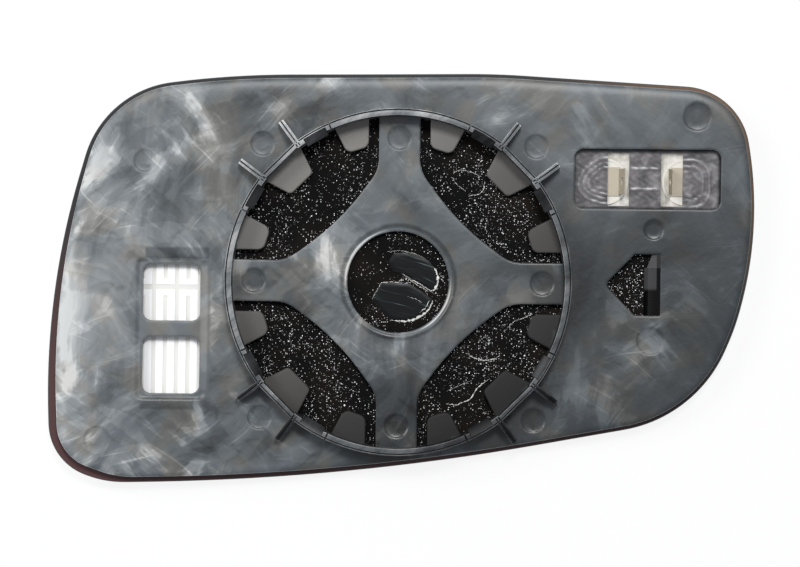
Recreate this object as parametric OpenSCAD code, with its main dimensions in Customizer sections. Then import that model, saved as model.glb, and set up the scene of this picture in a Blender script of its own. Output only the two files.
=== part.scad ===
// Heated door mirror glass, seen from its back: a convex glass with a heater foil and an adhesive
// pad behind it, bonded to a moulded carrier plate with a ring of snap hooks for the adjuster.
// Millimetres. The origin is on the axis of the ring, at the mouth of the hub's hole, where the
// step round it ends. +Z points out of the back, away from the driver, and the mirror face looks
// down. +X is to the right and +Y is up.

/* [Glass] */
// How far the glass reaches past the clip ring to the right
past_right = 46; // [43:0.5:57]
// How far the glass reaches past the clip ring to the left
past_left = 44; // [41:0.5:55]
// How far the glass reaches past the clip ring at the top
past_top = 9.5; // [7:0.5:15]
// How far the glass reaches past the clip ring at the bottom
past_bottom = 8; // [7:0.5:15]
// Thickness of the glass
glass_t = 2; // [1.6:0.1:3]
// Radius of the convex mirror face
mirror_r = 1400; // [1000:50:2500]

/* [Rim of bare glass round the plate] */
// Rim along the top
rim_top = 1.1; // [0.6:0.1:2]
// Rim along the upper part of the left side
rim_left_upper = 1.4; // [1:0.1:2]
// Rim along the lower part of the left side
rim_left_lower = 2.4; // [1.6:0.1:3]
// Rim along the bottom
rim_bottom = 1.5; // [1:0.1:2]
// Rim along the right side and the sloping lower right
rim_right = 1.1; // [0.6:0.1:2]

/* [Heater and pad] */
// Thickness of the film that carries the heater foil
film_t = 0.2; // [0.1:0.05:0.4]
// Thickness of the glue between the glass and the film, and between the film and the foil
glue_t = 0.05; // [0.05:0.01:0.1]
// Thickness of the etched heater foil
foil_t = 0.1; // [0.05:0.05:0.2]
// Thickness of the speckled adhesive pad
pad_t = 0.7; // [0.6:0.05:1.2]
// How far the film and the pad stay inside the plate's edge
pad_margin = 1; // [0.5:0.1:3]
// How far the foil stays inside the film's edge
foil_margin = 1.5; // [0.5:0.1:4]
// Distance from one slot of the foil to the next
slot_pitch = 2.85; // [2.4:0.05:4]
// Width of the slots between the tracks
slot_w = 1.05; // [0.6:0.05:1.6]
// Width of a track where it turns back
turn_w = 1.45; // [1:0.05:2]
// Height of the gap between the upper and the lower half of the foil
half_gap = 1.3; // [0.6:0.1:2]
// Place of that gap above the hub's axis
half_gap_y = -1.95; // [-6:0.05:2]

/* [Carrier plate] */
// Thickness of the plate
plate_t = 2.5; // [2.5:0.1:3.5]
// Width of the four spokes
spoke_w = 10.3; // [8:0.1:12]
// Distance from the hub's axis to the slanting edge of each opening
hub_reach = 21.7; // [20.5:0.1:24]
// Radius of that edge's bow at its middle
hub_bow_r = 65; // [40:1:90]
// Angle by which the two halves of that edge turn away from the hub
hub_bow_turn = 9; // [3:0.5:11]
// Fillet between that edge and the spokes
hub_fillet = 9; // [4:0.5:11]
// Radius of the hub's hole
hub_hole_r = 12.7; // [10:0.1:14]
// Width of the step round the hub's hole
hub_step_w = 1.3; // [0.6:0.1:2.5]
// Depth of the step round the hub's hole
hub_step_t = 0.6; // [0.3:0.1:1]

/* [Clip ring] */
// Outer radius of the clip ring
ring_r = 43; // [41:0.1:44]
// Wall of the clip ring
ring_wall = 1.7; // [1.4:0.1:2.2]
// Height of the clip ring above the mouth of the hub's hole
ring_h = 7; // [5.5:0.1:9]
// Half the angle of each plain arc of the ring
arc_half = 24; // [22:0.1:24.2]
// Slit that frees each hook from the plain arc
slit_w = 0.4; // [0.2:0.05:0.5]
// Lip outside the groove that runs round the ring's top
groove_lip = 0.2; // [0.15:0.05:0.25]
// Width of that groove
groove_w = 0.3; // [0.2:0.05:0.4]
// Depth of that groove
groove_t = 0.5; // [0.3:0.1:1]
// Angle from the diagonal to the middle of each hook
hook_angle = 14.9; // [14.7:0.1:15.4]
// Width of each hook along the ring
hook_w = 5.9; // [4.5:0.1:6]
// How far a hook's nose stands in from its wall
hook_nose = 2.1; // [1.2:0.1:2.6]
// How far a hook's nose starts below the ring's top
hook_drop = 0.3; // [0:0.1:1.5]
// Height of a hook's nose
hook_t = 3.3; // [2:0.1:4]
// Wall behind each hook
hook_wall = 0.7; // [0.5:0.1:1.2]
// Angle from the diagonal to each radial rib
rib_angle = 8.2; // [8:0.1:9]
// Thickness of the radial ribs
rib_t = 1.5; // [1.2:0.1:1.8]
// How far the ribs reach out past the ring
rib_reach = 6.4; // [4:0.1:6.6]
// How much lower the ribs are at their outer ends
rib_drop = 2.2; // [0:0.1:3.5]
// Thickness of the straight bar between two ribs
bar_t = 1.3; // [0.8:0.1:1.7]

/* [Teeth inside the ring] */
// Radius that the teeth reach in to
tooth_r = 34.6; // [32:0.1:37]
// Half the angle of the middle tooth at the ring
mid_tooth_out = 8.7; // [8.4:0.1:9]
// Half the angle of the middle tooth at its tip
mid_tooth_in = 6.4; // [5:0.1:8]
// Corner radius of the middle tooth
mid_tooth_round = 1.3; // [0.5:0.1:2.5]
// Gap between a side tooth and its spoke
side_tooth_gap = 2.55; // [1.5:0.05:4]
// Angle of a side tooth's far edge at the ring, from its spoke
side_tooth_out = 23.3; // [22:0.1:24]
// Angle of a side tooth's far edge at its tip, from its spoke
side_tooth_in = 22.2; // [20:0.1:23]
// Corner radius of a side tooth
side_tooth_round = 2; // [0.5:0.1:2.5]

/* [Windows over the heater] */
// Distance from the clip ring to the middle of the windows
window_beside = 13.5; // [11:0.5:17]
// Place of the upper window's middle above the hub's axis
window_y = -3.2; // [-6:0.1:0]
// Width of a window
window_w = 14.3; // [10:0.1:16]
// Height of a window
window_h = 14.2; // [10:0.1:16]
// Bar between the two windows
window_bar = 4; // [3:0.1:6]
// Corner radius of a window
window_round = 2.2; // [1:0.1:4]
// Width of the sunk frame beside the windows
frame_w = 1.9; // [1:0.1:3]
// Depth of the sunk frame
frame_t = 0.4; // [0.2:0.1:0.8]

/* [Connector recess] */
// Distance from the clip ring to the middle of the recess
recess_beside = 18.9; // [17:0.1:21]
// Place of the recess above the hub's axis
recess_y = 26.4; // [25:0.1:28]
// Width of the recess
recess_w = 36.4; // [35:0.1:38]
// Height of the recess
recess_h = 14.9; // [14.5:0.1:17]
// Corner radius of the recess
recess_round = 2.3; // [1:0.1:4]
// Thickness of the clear cover film on the recess's floor
cover_t = 0.25; // [0.15:0.05:0.3]
// How far the cover film runs under the plate
cover_lap = 1.5; // [0.8:0.1:2]
// Distance between the middles of the two slots in the cover film
cover_slot_pitch = 13.3; // [12.5:0.1:14]
// Width of each slot in the cover film
cover_slot_w = 5.4; // [5:0.1:6.5]
// Height of each slot in the cover film
cover_slot_h = 13.4; // [10:0.1:14]

/* [Terminals] */
// Distance between the middles of the two contact discs
contact_pitch = 20; // [19.5:0.1:21]
// Radius of a contact disc
contact_r = 5.8; // [5.5:0.1:6.2]
// Thickness of a contact disc
contact_t = 0.15; // [0.1:0.05:0.2]
// Width of the raised rim of a contact disc
contact_rim_w = 0.6; // [0.4:0.1:0.7]
// Thickness of the terminals' sheet metal
terminal_t = 0.3; // [0.2:0.05:0.3]
// Width of the terminals' base
terminal_w = 7.2; // [6.5:0.1:7.4]
// How far the base runs behind the middle of its disc
terminal_tail = 2.8; // [2:0.1:3]
// Width of the blades
blade_w = 6.3; // [5:0.1:6.5]
// Height of the blades
blade_h = 6; // [4:0.1:7]
// Lean of the blades towards each other
blade_lean = 12; // [0:1:20]
// Distance between the feet of the two blades
blade_pitch = 12.8; // [12.4:0.1:13.2]
// Radius of the hole in each blade
blade_hole_r = 1; // [0.6:0.1:1.4]

/* [Latch opening] */
// Distance from the clip ring to the flat right side of the latch opening
latch_beside = 22.3; // [21:0.1:24]
// Length of the latch opening's straight part
latch_flat = 6.3; // [4:0.1:8]
// Length of its pointed part
latch_point = 7.4; // [5:0.1:9]
// Height of the latch opening
latch_h = 15.3; // [12:0.1:16]
// Rounding of its point
latch_round = 1.5; // [0.5:0.1:3]
// Width of the ramp on its right side
ramp_w = 3.8; // [2:0.1:5]
// Thickness of the ramp's lower edge
ramp_edge = 0.4; // [0.2:0.1:0.8]
// Gap between the ramp's end and the top of the opening
ramp_gap = 3.4; // [2:0.1:6]

/* [Ejector marks] */
// Depth of the round ejector marks
mark_t = 0.25; // [0.1:0.05:0.4]
// Radius of the usual ejector mark
mark_r = 3; // [2.5:0.1:3.4]
// Distance from the hub's axis to the marks on the spokes
spoke_mark_r = 36; // [33:0.5:38]
// Distance from the hub's axis to the marks on the diagonals
diagonal_mark_r = 48.3; // [47.5:0.1:49]

/* [Hidden] */
$fn = 96;

// Levels on the hub's axis, from the plate's back down to the mirror face
plate_back = hub_step_t;
plate_front = plate_back - plate_t;
foil_back = plate_front - pad_t;
foil_front = foil_back - foil_t;
film_back = foil_front - glue_t;
film_front = film_back - film_t;
glass_back = film_front - glue_t;
mirror_face = glass_back - glass_t;

// Every layer is curved about this one centre
centre_z = mirror_face + mirror_r;
// The glass, the openings and the windows keep their distance from the clip ring
glass_right = ring_r + past_right;
glass_left = ring_r + past_left;
glass_top = ring_r + past_top;
glass_bottom = ring_r + past_bottom;
window_x = -ring_r - window_beside;
recess_x = ring_r + recess_beside;
latch_x = ring_r + latch_beside;
// Circles as large as the mirror's radius need many more steps
fine = 3600;
// Half the side of a square that holds the whole glass
far = 160;
// How far a rounded corner's chords may lie inside the true arc
arc_error = 0.03;

// How far the ramp stays clear of the plate's two faces, and how far it is sunk in its wall
ramp_seat = 0.1;
// Level part of a rib's top, next to the ring
rib_flat = 1;
// Play beside a hook, as an angle, and round the cover film in its pocket
hook_play = 0.3;
cover_play = 0.1;

// Corners of the glass, anticlockwise from the top right: x, y, radius, and the rim's width along
// the side that follows. The large radii give the sides their bow.
glass_corners = [
    [glass_right - 4, glass_top - 3.5, 17, rim_top],
    [24, glass_top, 200, rim_top],
    [-42, glass_top - 1, 235, rim_top],
    [13 - glass_left, glass_top - 5.5, 26, rim_left_upper],
    [-glass_left - 1.5, -4, 190, rim_left_lower],
    [0.5 - glass_left, 5 - glass_bottom, 14, rim_left_lower],
    [14.5 - glass_left, -glass_bottom, 26, rim_bottom],
    [-15, 1 - glass_bottom, 600, rim_right],
    [glass_right - 14, 18 - glass_bottom, 34, rim_right],
    [glass_right - 4.5, -10.5, 59, rim_right],
    [glass_right + 2, 14.5, 95, rim_right]
];

// Ejector marks away from the ring: x, y and radius
loose_marks = [
    [-63.4, 29.5, 2.8], [74, 42, 3.5], [63.6, 13.8, 2.5], [63, -14, 3.4], [-74.5, -40, 3.2]
];

// Outlines

function unit(v) = v / norm(v);
function flat(p) = [p[0], p[1]];
function at(list, i) = list[(i + len(list)) % len(list)];
function cross2(a, b) = a[0] * b[1] - a[1] * b[0];

// The arc that rounds one corner of an anticlockwise outline, in chords that stay close to it
function corner_arc(before, corner, after) =
    let (
        to_before = unit(flat(before) - flat(corner)),
        to_after = unit(flat(after) - flat(corner)),
        half = acos(to_before * to_after) / 2,
        middle = flat(corner) + unit(to_before + to_after) * corner[2] / sin(half),
        start = flat(corner) + to_before * corner[2] / tan(half) - middle,
        sweep = 180 - 2 * half,
        first = atan2(start[1], start[0]),
        steps = ceil(sweep / 2 / acos(1 - arc_error / max(corner[2], arc_error)))
    )
    corner[2] == 0
        ? [flat(corner)]
        : [for (i = [0 : steps]) let (a = first + sweep * i / steps)
            middle + corner[2] * [cos(a), sin(a)]];

// How much of each of its two sides the rounding of a corner takes up
function taken(before, corner, after) =
    let (half = acos(unit(flat(before) - flat(corner)) * unit(flat(after) - flat(corner))) / 2)
    corner[2] / tan(half);

// The share of its radius that a corner keeps; it is below 1 where a side is too short for both its roundings
function kept(corners, i) =
    let (
        corner = corners[i],
        before = at(corners, i - 1),
        after = at(corners, i + 1),
        own = taken(before, corner, after),
        side_in = norm(flat(corner) - flat(before)),
        side_out = norm(flat(after) - flat(corner))
    )
    min(
        1,
        side_in / (own + taken(at(corners, i - 2), before, corner)),
        side_out / (own + taken(corner, after, at(corners, i + 2)))
    );

// An anticlockwise outline through corners given as [x, y, radius]
function rounded(corners) = [
    for (i = [0 : len(corners) - 1])
        let (c = corners[i])
        each corner_arc(at(corners, i - 1), [c[0], c[1], c[2] * kept(corners, i)], at(corners, i + 1))
];

// One corner of the glass moved in by the rims of its two sides, and then by a further margin
function inset_corner(before, corner, after, margin) =
    let (
        along_in = unit(flat(corner) - flat(before)),
        along_out = unit(flat(after) - flat(corner)),
        move_in = before[3] + margin,
        move_out = corner[3] + margin,
        moved = flat(corner)
            + (along_out * move_in - along_in * move_out) / cross2(along_in, along_out)
    )
    [moved[0], moved[1], max(2, corner[2] - (move_in + move_out) / 2)];

// The outline of the plate, or with a margin the outline of what lies inside the plate's edge
function plate_outline(margin = 0) = rounded([
    for (i = [0 : len(glass_corners) - 1])
        inset_corner(at(glass_corners, i - 1), glass_corners[i], at(glass_corners, i + 1), margin)
]);

// Corners of a rectangle about its middle, for rounded()
function box_corners(w, h, r) = [[w / 2, h / 2, r], [-w / 2, h / 2, r], [-w / 2, -h / 2, r], [w / 2, -h / 2, r]];

module rounded_box(w, h, r) {
    polygon(rounded(box_corners(w, h, r)));
}

// Shells and places on them

// The part of a plane shape that lies between two levels, curved about the common centre
module layer(low, high) {
    intersection() {
        rotate_extrude($fn = 180)
            intersection() {
                difference() {
                    translate([0, centre_z]) circle(r = centre_z - low, $fn = fine);
                    translate([0, centre_z]) circle(r = centre_z - high, $fn = fine);
                }
                translate([0, -far / 4]) square([far, far / 2]);
            }
        translate([0, 0, -far / 4]) linear_extrude(far / 2) children();
    }
}

// Carries what is drawn at the axis to a point on the shell, square to the shell there
module on_shell(x, y) {
    reach = norm([x, y]);
    translate([0, 0, centre_z])
        rotate([0, 0, atan2(y, x)])
            rotate([0, -asin(reach / centre_z), 0])
                rotate([0, 0, -atan2(y, x)])
                    translate([0, 0, -centre_z]) children();
}

// A wedge of the plane between two angles
module sector(from, to) {
    polygon([[0, 0], far * [cos(from), sin(from)], far * [cos(to), sin(to)]]);
}

// Draws the children on both sides of each of the four diagonals
module both_sides_of_diagonals() {
    for (turn = [45 : 90 : 315]) rotate([0, 0, turn]) {
        children();
        mirror([0, 1, 0]) children();
    }
}

// Glass and heater

module mirror_glass() {
    color("#2b2624")
        layer(mirror_face, glass_back) polygon(rounded(glass_corners));
}

module heater_film() {
    color("#c9c9c4")
        layer(film_front, film_back) polygon(plate_outline(pad_margin));
}

// Middle of a slot; slot 0 is the one beside the middle track of the windows
function slot_x(i) = window_x + (slot_pitch - slot_w / 2) / 2 + i * slot_pitch;

// Is there room for a slot there, with a whole track beyond it?
function slot_fits(x) =
    let (edge = rim_left_lower + pad_margin + foil_margin + slot_pitch)
    x > edge - glass_left && x < glass_right - edge;

// The slots between the tracks: the even ones cross the gap between the halves and stop short of
// the edge, and the odd ones stop short of the gap and run off the edge
module foil_slots() {
    most = ceil(far / slot_pitch / 2) * 2;
    intersection() {
        polygon(plate_outline(pad_margin + foil_margin + turn_w));
        for (i = [-most : 2 : most]) if (slot_fits(slot_x(i)))
            translate([slot_x(i), 0]) square([slot_w, far], center = true);
    }
    for (i = [1 - most : 2 : most], side = [-1, 1]) if (slot_fits(slot_x(i)))
        translate([slot_x(i), half_gap_y + side * (half_gap / 2 + turn_w + far / 4)])
            square([slot_w, far / 2], center = true);
}

// The foil is one strip that winds to and fro in an upper and a lower half, joined at the left
module heater_foil() {
    edge = pad_margin + foil_margin;
    color("#eceae4")
        layer(foil_front, foil_back)
            difference() {
                polygon(plate_outline(edge));
                foil_slots();
                translate([rim_left_lower + edge + 2 * slot_pitch - glass_left, half_gap_y - half_gap / 2])
                    square([far, half_gap]);
            }
}

// The speckled pad, open behind the windows and round the cover film
module adhesive_pad() {
    color("#141414")
        layer(foil_back, plate_front)
            difference() {
                polygon(plate_outline(pad_margin));
                windows(frame_w / 2);
                translate([recess_x, recess_y])
                    rounded_box(recess_w + 2 * cover_lap, recess_h + 2 * cover_lap, recess_round);
            }
}

// Carrier plate

module windows(grow = 0) {
    for (i = [0, 1])
        translate([window_x, window_y - i * (window_h + window_bar)])
            rounded_box(window_w + 2 * grow, window_h + 2 * grow, window_round);
}

module middle_tooth() {
    polygon(rounded([
        [ring_r * cos(mid_tooth_out), ring_r * sin(mid_tooth_out), 0],
        [tooth_r * cos(mid_tooth_in), tooth_r * sin(mid_tooth_in), mid_tooth_round],
        [tooth_r * cos(mid_tooth_in), -tooth_r * sin(mid_tooth_in), mid_tooth_round],
        [ring_r * cos(mid_tooth_out), -ring_r * sin(mid_tooth_out), 0]
    ]));
}

// The tooth beside the spoke that runs along +X
module side_tooth() {
    side = spoke_w / 2 + side_tooth_gap;
    polygon(rounded([
        [ring_r * cos(side_tooth_out), ring_r * sin(side_tooth_out), 0],
        [tooth_r * cos(side_tooth_in), tooth_r * sin(side_tooth_in), side_tooth_round],
        [sqrt(pow(tooth_r, 2) - pow(side, 2)), side, side_tooth_round],
        [ring_r, side, 0]
    ]));
}

// The opening between two spokes, with its three teeth left standing
module quadrant_opening() {
    middle = hub_reach - hub_bow_r * (1 / cos(hub_bow_turn) - 1);
    along = (middle - spoke_w / sqrt(2)) / (1 - tan(hub_bow_turn));
    inner_corner = sqrt(2) * along + spoke_w / 2;
    difference() {
        intersection() {
            union() {
                circle(r = ring_r - ring_wall);
                intersection() {
                    circle(r = ring_r - hook_wall);
                    rotate([0, 0, 45]) union() {
                        hook_sector();
                        mirror([0, 1, 0]) hook_sector();
                    }
                }
            }
            polygon(rounded([
                [inner_corner, spoke_w / 2, hub_fillet],
                [far, spoke_w / 2, 0],
                [far, far, 0],
                [spoke_w / 2, far, 0],
                [spoke_w / 2, inner_corner, hub_fillet],
                [middle / sqrt(2), middle / sqrt(2), hub_bow_r]
            ]));
        }
        rotate([0, 0, 45]) middle_tooth();
        side_tooth();
        mirror([-1, 1, 0]) side_tooth();
    }
}

// The pointed opening on the right, drawn about its flat side's middle
module latch_opening() {
    translate([latch_x, 0])
        polygon(rounded([
            [0, latch_h / 2, 0],
            [-latch_flat, latch_h / 2, 0],
            [-latch_flat - latch_point, 0, latch_round],
            [-latch_flat, -latch_h / 2, 0],
            [0, -latch_h / 2, 0]
        ]));
}

// The ramp that falls from the plate's back to its front inside the latch opening
module latch_ramp() {
    low = -latch_h / 2;
    length = latch_h - ramp_gap;
    on_shell(latch_x, 0)
        translate([-ramp_w, low, plate_front])
            rotate([90, 0, 0])
                mirror([0, 0, 1])
                    linear_extrude(length)
                        polygon([
                            [0, ramp_seat],
                            [ramp_w + ramp_seat, ramp_seat],
                            [ramp_w + ramp_seat, plate_t - ramp_seat],
                            [ramp_w, plate_t - ramp_seat],
                            [0, ramp_seat + ramp_edge]
                        ]);
}

module plate_plan() {
    difference() {
        polygon(plate_outline());
        for (turn = [0 : 90 : 270]) rotate([0, 0, turn]) quadrant_opening();
        circle(r = hub_hole_r);
        windows();
        translate([recess_x, recess_y]) rounded_box(recess_w, recess_h, recess_round);
        latch_opening();
    }
}

module ejector_mark(x, y, r) {
    on_shell(x, y) translate([0, 0, plate_back - mark_t]) cylinder(r = r, h = plate_t);
}

module ejector_marks() {
    for (turn = [0 : 90 : 270]) {
        ejector_mark(spoke_mark_r * cos(turn), spoke_mark_r * sin(turn), mark_r);
        ejector_mark(diagonal_mark_r * cos(turn + 45), diagonal_mark_r * sin(turn + 45), mark_r);
    }
    for (mark = loose_marks) ejector_mark(mark[0], mark[1], mark[2]);
}

// Clip ring

// Half the angle that a width along the ring covers
function half_angle(width) = asin(width / 2 / ring_r);

// Half the angle of the gap that each hook works in
hook_half = half_angle(hook_w) + hook_play;

module hook_sector() {
    sector(hook_angle - hook_half, hook_angle + hook_half);
}

// An arc of the ring's wall between two angles and in from the ring's outer face, with the groove
module ring_arc(from, to, wall) {
    rotate([0, 0, from])
        rotate_extrude(angle = to - from)
            translate([ring_r, 0])
                polygon([
                    [0, ring_base],
                    [0, ring_h],
                    [-groove_lip, ring_h],
                    [-groove_lip, ring_h - groove_t],
                    [-groove_lip - groove_w, ring_h - groove_t],
                    [-groove_lip - groove_w, ring_h],
                    [-wall, ring_h],
                    [-wall, ring_base]
                ]);
}

// The wall from a rib past one hook to the slit; it starts inside the rib and is thin behind the hook
module hook_wall_arc() {
    difference() {
        ring_arc(
            rib_angle - half_angle(0.7 * rib_t), 45 - arc_half - 2 * half_angle(slit_w), ring_wall
        );
        translate([0, 0, -ring_h])
            linear_extrude(3 * ring_h)
                intersection() {
                    circle(r = ring_r - hook_wall);
                    hook_sector();
                }
    }
}

// The straight bar between the two ribs of a diagonal, drawn on +X
module bar() {
    half = ring_r * sin(rib_angle) - groove_w;
    translate([ring_r * cos(rib_angle) - bar_t, -half, ring_base])
        cube([bar_t, 2 * half, ring_h - ring_base]);
}

// A hook's nose, with a sloping top to lead the adjuster in and a sloping underside to let it go
module hook() {
    wall = ring_r - hook_wall;
    root = wall + hook_wall / 2;
    rotate([0, 0, hook_angle])
        rotate([90, 0, 0])
            translate([0, 0, -hook_w / 2])
                linear_extrude(hook_w)
                    polygon([
                        [root, ring_h - hook_drop],
                        [root, ring_h - hook_drop - hook_t],
                        [wall, ring_h - hook_drop - hook_t],
                        [wall - hook_nose, ring_h - hook_drop - 0.7 * hook_t],
                        [wall - hook_nose, ring_h - hook_drop - 0.35 * hook_t],
                        [wall, ring_h - hook_drop]
                    ]);
}

// A radial rib that props the ring, grooved along its top
module rib() {
    inner = ring_r - ring_wall * 0.8;
    outer = ring_r + rib_reach;
    rotate([0, 0, rib_angle])
        difference() {
            translate([0, rib_t / 2, 0])
                rotate([90, 0, 0])
                    linear_extrude(rib_t)
                        polygon([
                            [inner, ring_base],
                            [outer, ring_base],
                            [outer, ring_h - rib_drop],
                            [ring_r + rib_flat, ring_h],
                            [inner, ring_h]
                        ]);
            translate([ring_r + rib_flat, 0, ring_h])
                rotate([0, atan2(rib_drop, rib_reach - rib_flat), 0])
                    cube([far, groove_w, 2 * groove_t], center = true);
        }
}

// The ring and its ribs start inside the plate, so that they are one with it
ring_base = plate_back - plate_t / 4;

module clip_ring() {
    for (turn = [0 : 90 : 270]) {
        rotate([0, 0, turn]) ring_arc(-arc_half, arc_half, ring_wall);
        rotate([0, 0, turn + 45]) bar();
    }
    both_sides_of_diagonals() {
        hook_wall_arc();
        hook();
        rib();
    }
}

module carrier_plate() {
    frame_h = 2 * window_h + window_bar + 2 * frame_w;
    color("#5a626a")
        difference() {
            union() {
                layer(plate_front, plate_back) plate_plan();
                clip_ring();
                latch_ramp();
            }
            layer(plate_back - frame_t, plate_back + plate_t)
                translate([window_x, window_y - (window_h + window_bar) / 2])
                    rounded_box(window_w + 2 * frame_w, frame_h, window_round);
            cylinder(r = hub_hole_r + hub_step_w, h = plate_t);
            ejector_marks();
        }
}

// Connector

// The middle between the two terminals, a little left of and below the recess's middle
terminal_x = recess_x - 0.4;
terminal_y = recess_y - 0.6;
// The holes in the blades are nearer their tips
blade_hole_z = 0.6 * blade_h;

module cover_film() {
    color("#4b4c4f")
        layer(plate_front - cover_t, plate_front)
            difference() {
                translate([recess_x, recess_y])
                    rounded_box(
                        recess_w + 2 * (cover_lap - cover_play),
                        recess_h + 2 * (cover_lap - cover_play),
                        recess_round
                    );
                for (side = [-1, 1])
                    translate([terminal_x + side * cover_slot_pitch / 2, recess_y])
                        square([cover_slot_w, cover_slot_h], center = true);
            }
}

// A contact disc with its raised rim; side is -1 for the left one and 1 for the right one
module contact_disc(side) {
    x = terminal_x + side * contact_pitch / 2;
    color("#dcdad4") union() {
        layer(foil_back, foil_back + contact_t) translate([x, terminal_y]) circle(r = contact_r);
        layer(foil_back, foil_back + contact_t + terminal_t / 2)
            translate([x, terminal_y])
                difference() {
                    circle(r = contact_r);
                    circle(r = contact_r - contact_rim_w);
                }
    }
}

// A terminal: a flat base on its disc, and a blade that stands up through the slot
module terminal(side) {
    foot = blade_pitch / 2;
    tail = contact_pitch / 2 + terminal_tail;
    base_low = foil_back + contact_t;
    color("#c9bfa6") union() {
        layer(base_low, base_low + terminal_t)
            translate([terminal_x, terminal_y])
                scale_side(side)
                    translate([foot, -terminal_w / 2]) square([tail - foot, terminal_w]);
        on_shell(terminal_x + side * foot, terminal_y)
            scale_side(side)
                translate([terminal_t, 0, base_low + terminal_t / 2])
                    rotate([0, -blade_lean, 0])
                        difference() {
                            translate([-terminal_t, -blade_w / 2, 0]) cube([terminal_t, blade_w, blade_h]);
                            translate([-2 * terminal_t, 0, blade_hole_z])
                                rotate([0, 90, 0]) cylinder(r = blade_hole_r, h = 4 * terminal_t);
                        }
    }
}

// Draws the children as they are for the right side, and mirrored for the left side
module scale_side(side) {
    if (side > 0) children();
    else mirror([1, 0, 0]) children();
}

module contact_disc_left() { contact_disc(-1); }
module contact_disc_right() { contact_disc(1); }
module terminal_left() { terminal(-1); }
module terminal_right() { terminal(1); }

mirror_glass();
heater_film();
heater_foil();
adhesive_pad();
carrier_plate();
cover_film();
contact_disc_left();
contact_disc_right();
terminal_left();
terminal_right();
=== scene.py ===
# %% [markdown]
# # A car door mirror's glass, seen from its back
#
# The glass lies on its mirror face. What shows is the moulded carrier plate behind it, with the ring
# of snap hooks that holds it on the adjuster, the speckled pad between the spokes, two windows onto
# the heater foil, and the recess with the heater's two terminals.
#
# All lengths below are in millimetres in the frame of the CAD part, and are made metres when a mesh
# is built.

import math
import random

import bmesh
import bpy
import numpy as np
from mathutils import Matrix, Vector
from mathutils.geometry import delaunay_2d_cdt


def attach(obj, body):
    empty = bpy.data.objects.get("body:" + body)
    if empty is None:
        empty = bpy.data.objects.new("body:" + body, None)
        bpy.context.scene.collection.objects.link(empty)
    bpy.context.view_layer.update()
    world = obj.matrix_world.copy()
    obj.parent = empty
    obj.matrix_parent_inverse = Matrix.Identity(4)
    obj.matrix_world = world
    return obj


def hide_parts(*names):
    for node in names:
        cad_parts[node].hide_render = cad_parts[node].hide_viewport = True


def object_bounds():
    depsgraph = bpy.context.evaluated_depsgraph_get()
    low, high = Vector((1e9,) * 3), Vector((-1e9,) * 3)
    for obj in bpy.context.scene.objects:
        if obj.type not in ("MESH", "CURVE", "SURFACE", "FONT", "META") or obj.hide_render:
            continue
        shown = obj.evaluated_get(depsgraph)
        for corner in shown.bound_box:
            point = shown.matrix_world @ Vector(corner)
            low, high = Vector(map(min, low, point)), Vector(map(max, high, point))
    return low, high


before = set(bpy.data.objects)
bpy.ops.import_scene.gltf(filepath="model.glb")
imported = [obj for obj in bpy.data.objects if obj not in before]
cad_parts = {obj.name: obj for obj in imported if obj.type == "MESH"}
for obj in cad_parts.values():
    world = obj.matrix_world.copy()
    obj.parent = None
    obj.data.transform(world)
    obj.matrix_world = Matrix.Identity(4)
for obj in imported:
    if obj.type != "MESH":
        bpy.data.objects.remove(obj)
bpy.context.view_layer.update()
MM = 0.001
print("nodes:", ", ".join(sorted(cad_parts)))

# %% [markdown]
# ## Sizes
#
# The levels are heights on the hub's axis. Each layer is part of a sphere about one centre, far above
# the mirror, because the mirror face is convex.

# %% Sizes
PLATE_BACK = 0.6
PLATE_FRONT = -1.9
GLASS_BACK = -3.0
MIRROR_FACE = -5.0
CENTRE_Z = 1395.0
# Between a side tooth and its spoke
SIDE_TOOTH_GAP = 2.55

GLASS_RIGHT, GLASS_LEFT, GLASS_TOP, GLASS_BOTTOM = 89, 87, 52.5, 51
RIM_TOP, RIM_LEFT_UPPER, RIM_LEFT_LOWER, RIM_BOTTOM, RIM_RIGHT = 1.1, 1.4, 2.4, 1.5, 1.1
GLASS_CORNERS = [
    (GLASS_RIGHT - 4, GLASS_TOP - 3.5, 17, RIM_TOP),
    (24, GLASS_TOP, 200, RIM_TOP),
    (-42, GLASS_TOP - 1, 235, RIM_TOP),
    (13 - GLASS_LEFT, GLASS_TOP - 5.5, 26, RIM_LEFT_UPPER),
    (-GLASS_LEFT - 1.5, -4, 190, RIM_LEFT_LOWER),
    (0.5 - GLASS_LEFT, 5 - GLASS_BOTTOM, 14, RIM_LEFT_LOWER),
    (14.5 - GLASS_LEFT, -GLASS_BOTTOM, 26, RIM_BOTTOM),
    (-15, 1 - GLASS_BOTTOM, 600, RIM_RIGHT),
    (GLASS_RIGHT - 14, 18 - GLASS_BOTTOM, 34, RIM_RIGHT),
    (GLASS_RIGHT - 4.5, -10.5, 59, RIM_RIGHT),
    (GLASS_RIGHT + 2, 14.5, 95, RIM_RIGHT),
]

SPOKE_W, HUB_REACH, HUB_FILLET, HUB_HOLE_R, HUB_STEP_W = 10.3, 21.7, 9, 12.7, 1.3
HUB_BOW_R, HUB_BOW_TURN = 65, math.radians(9)
RING_R, RING_WALL, RING_H, ARC_HALF, SLIT_W = 43, 1.7, 7, 24, 0.4
GROOVE_LIP, GROOVE_W, GROOVE_T = 0.2, 0.3, 0.5
HOOK_ANGLE, HOOK_W, HOOK_NOSE, HOOK_DROP, HOOK_T, HOOK_WALL = 14.9, 5.9, 2.1, 0.3, 3.3, 0.7
RIB_ANGLE, RIB_T, RIB_REACH, RIB_DROP, BAR_T = 8.2, 1.5, 6.4, 2.2, 1.3
TOOTH_R = 34.6
WINDOW_X, WINDOW_Y, WINDOW_W, WINDOW_H, WINDOW_BAR = -56.5, -3.2, 14.3, 14.2, 4
WINDOW_ROUND, FRAME_W, FRAME_T = 2.2, 1.9, 0.4
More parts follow.
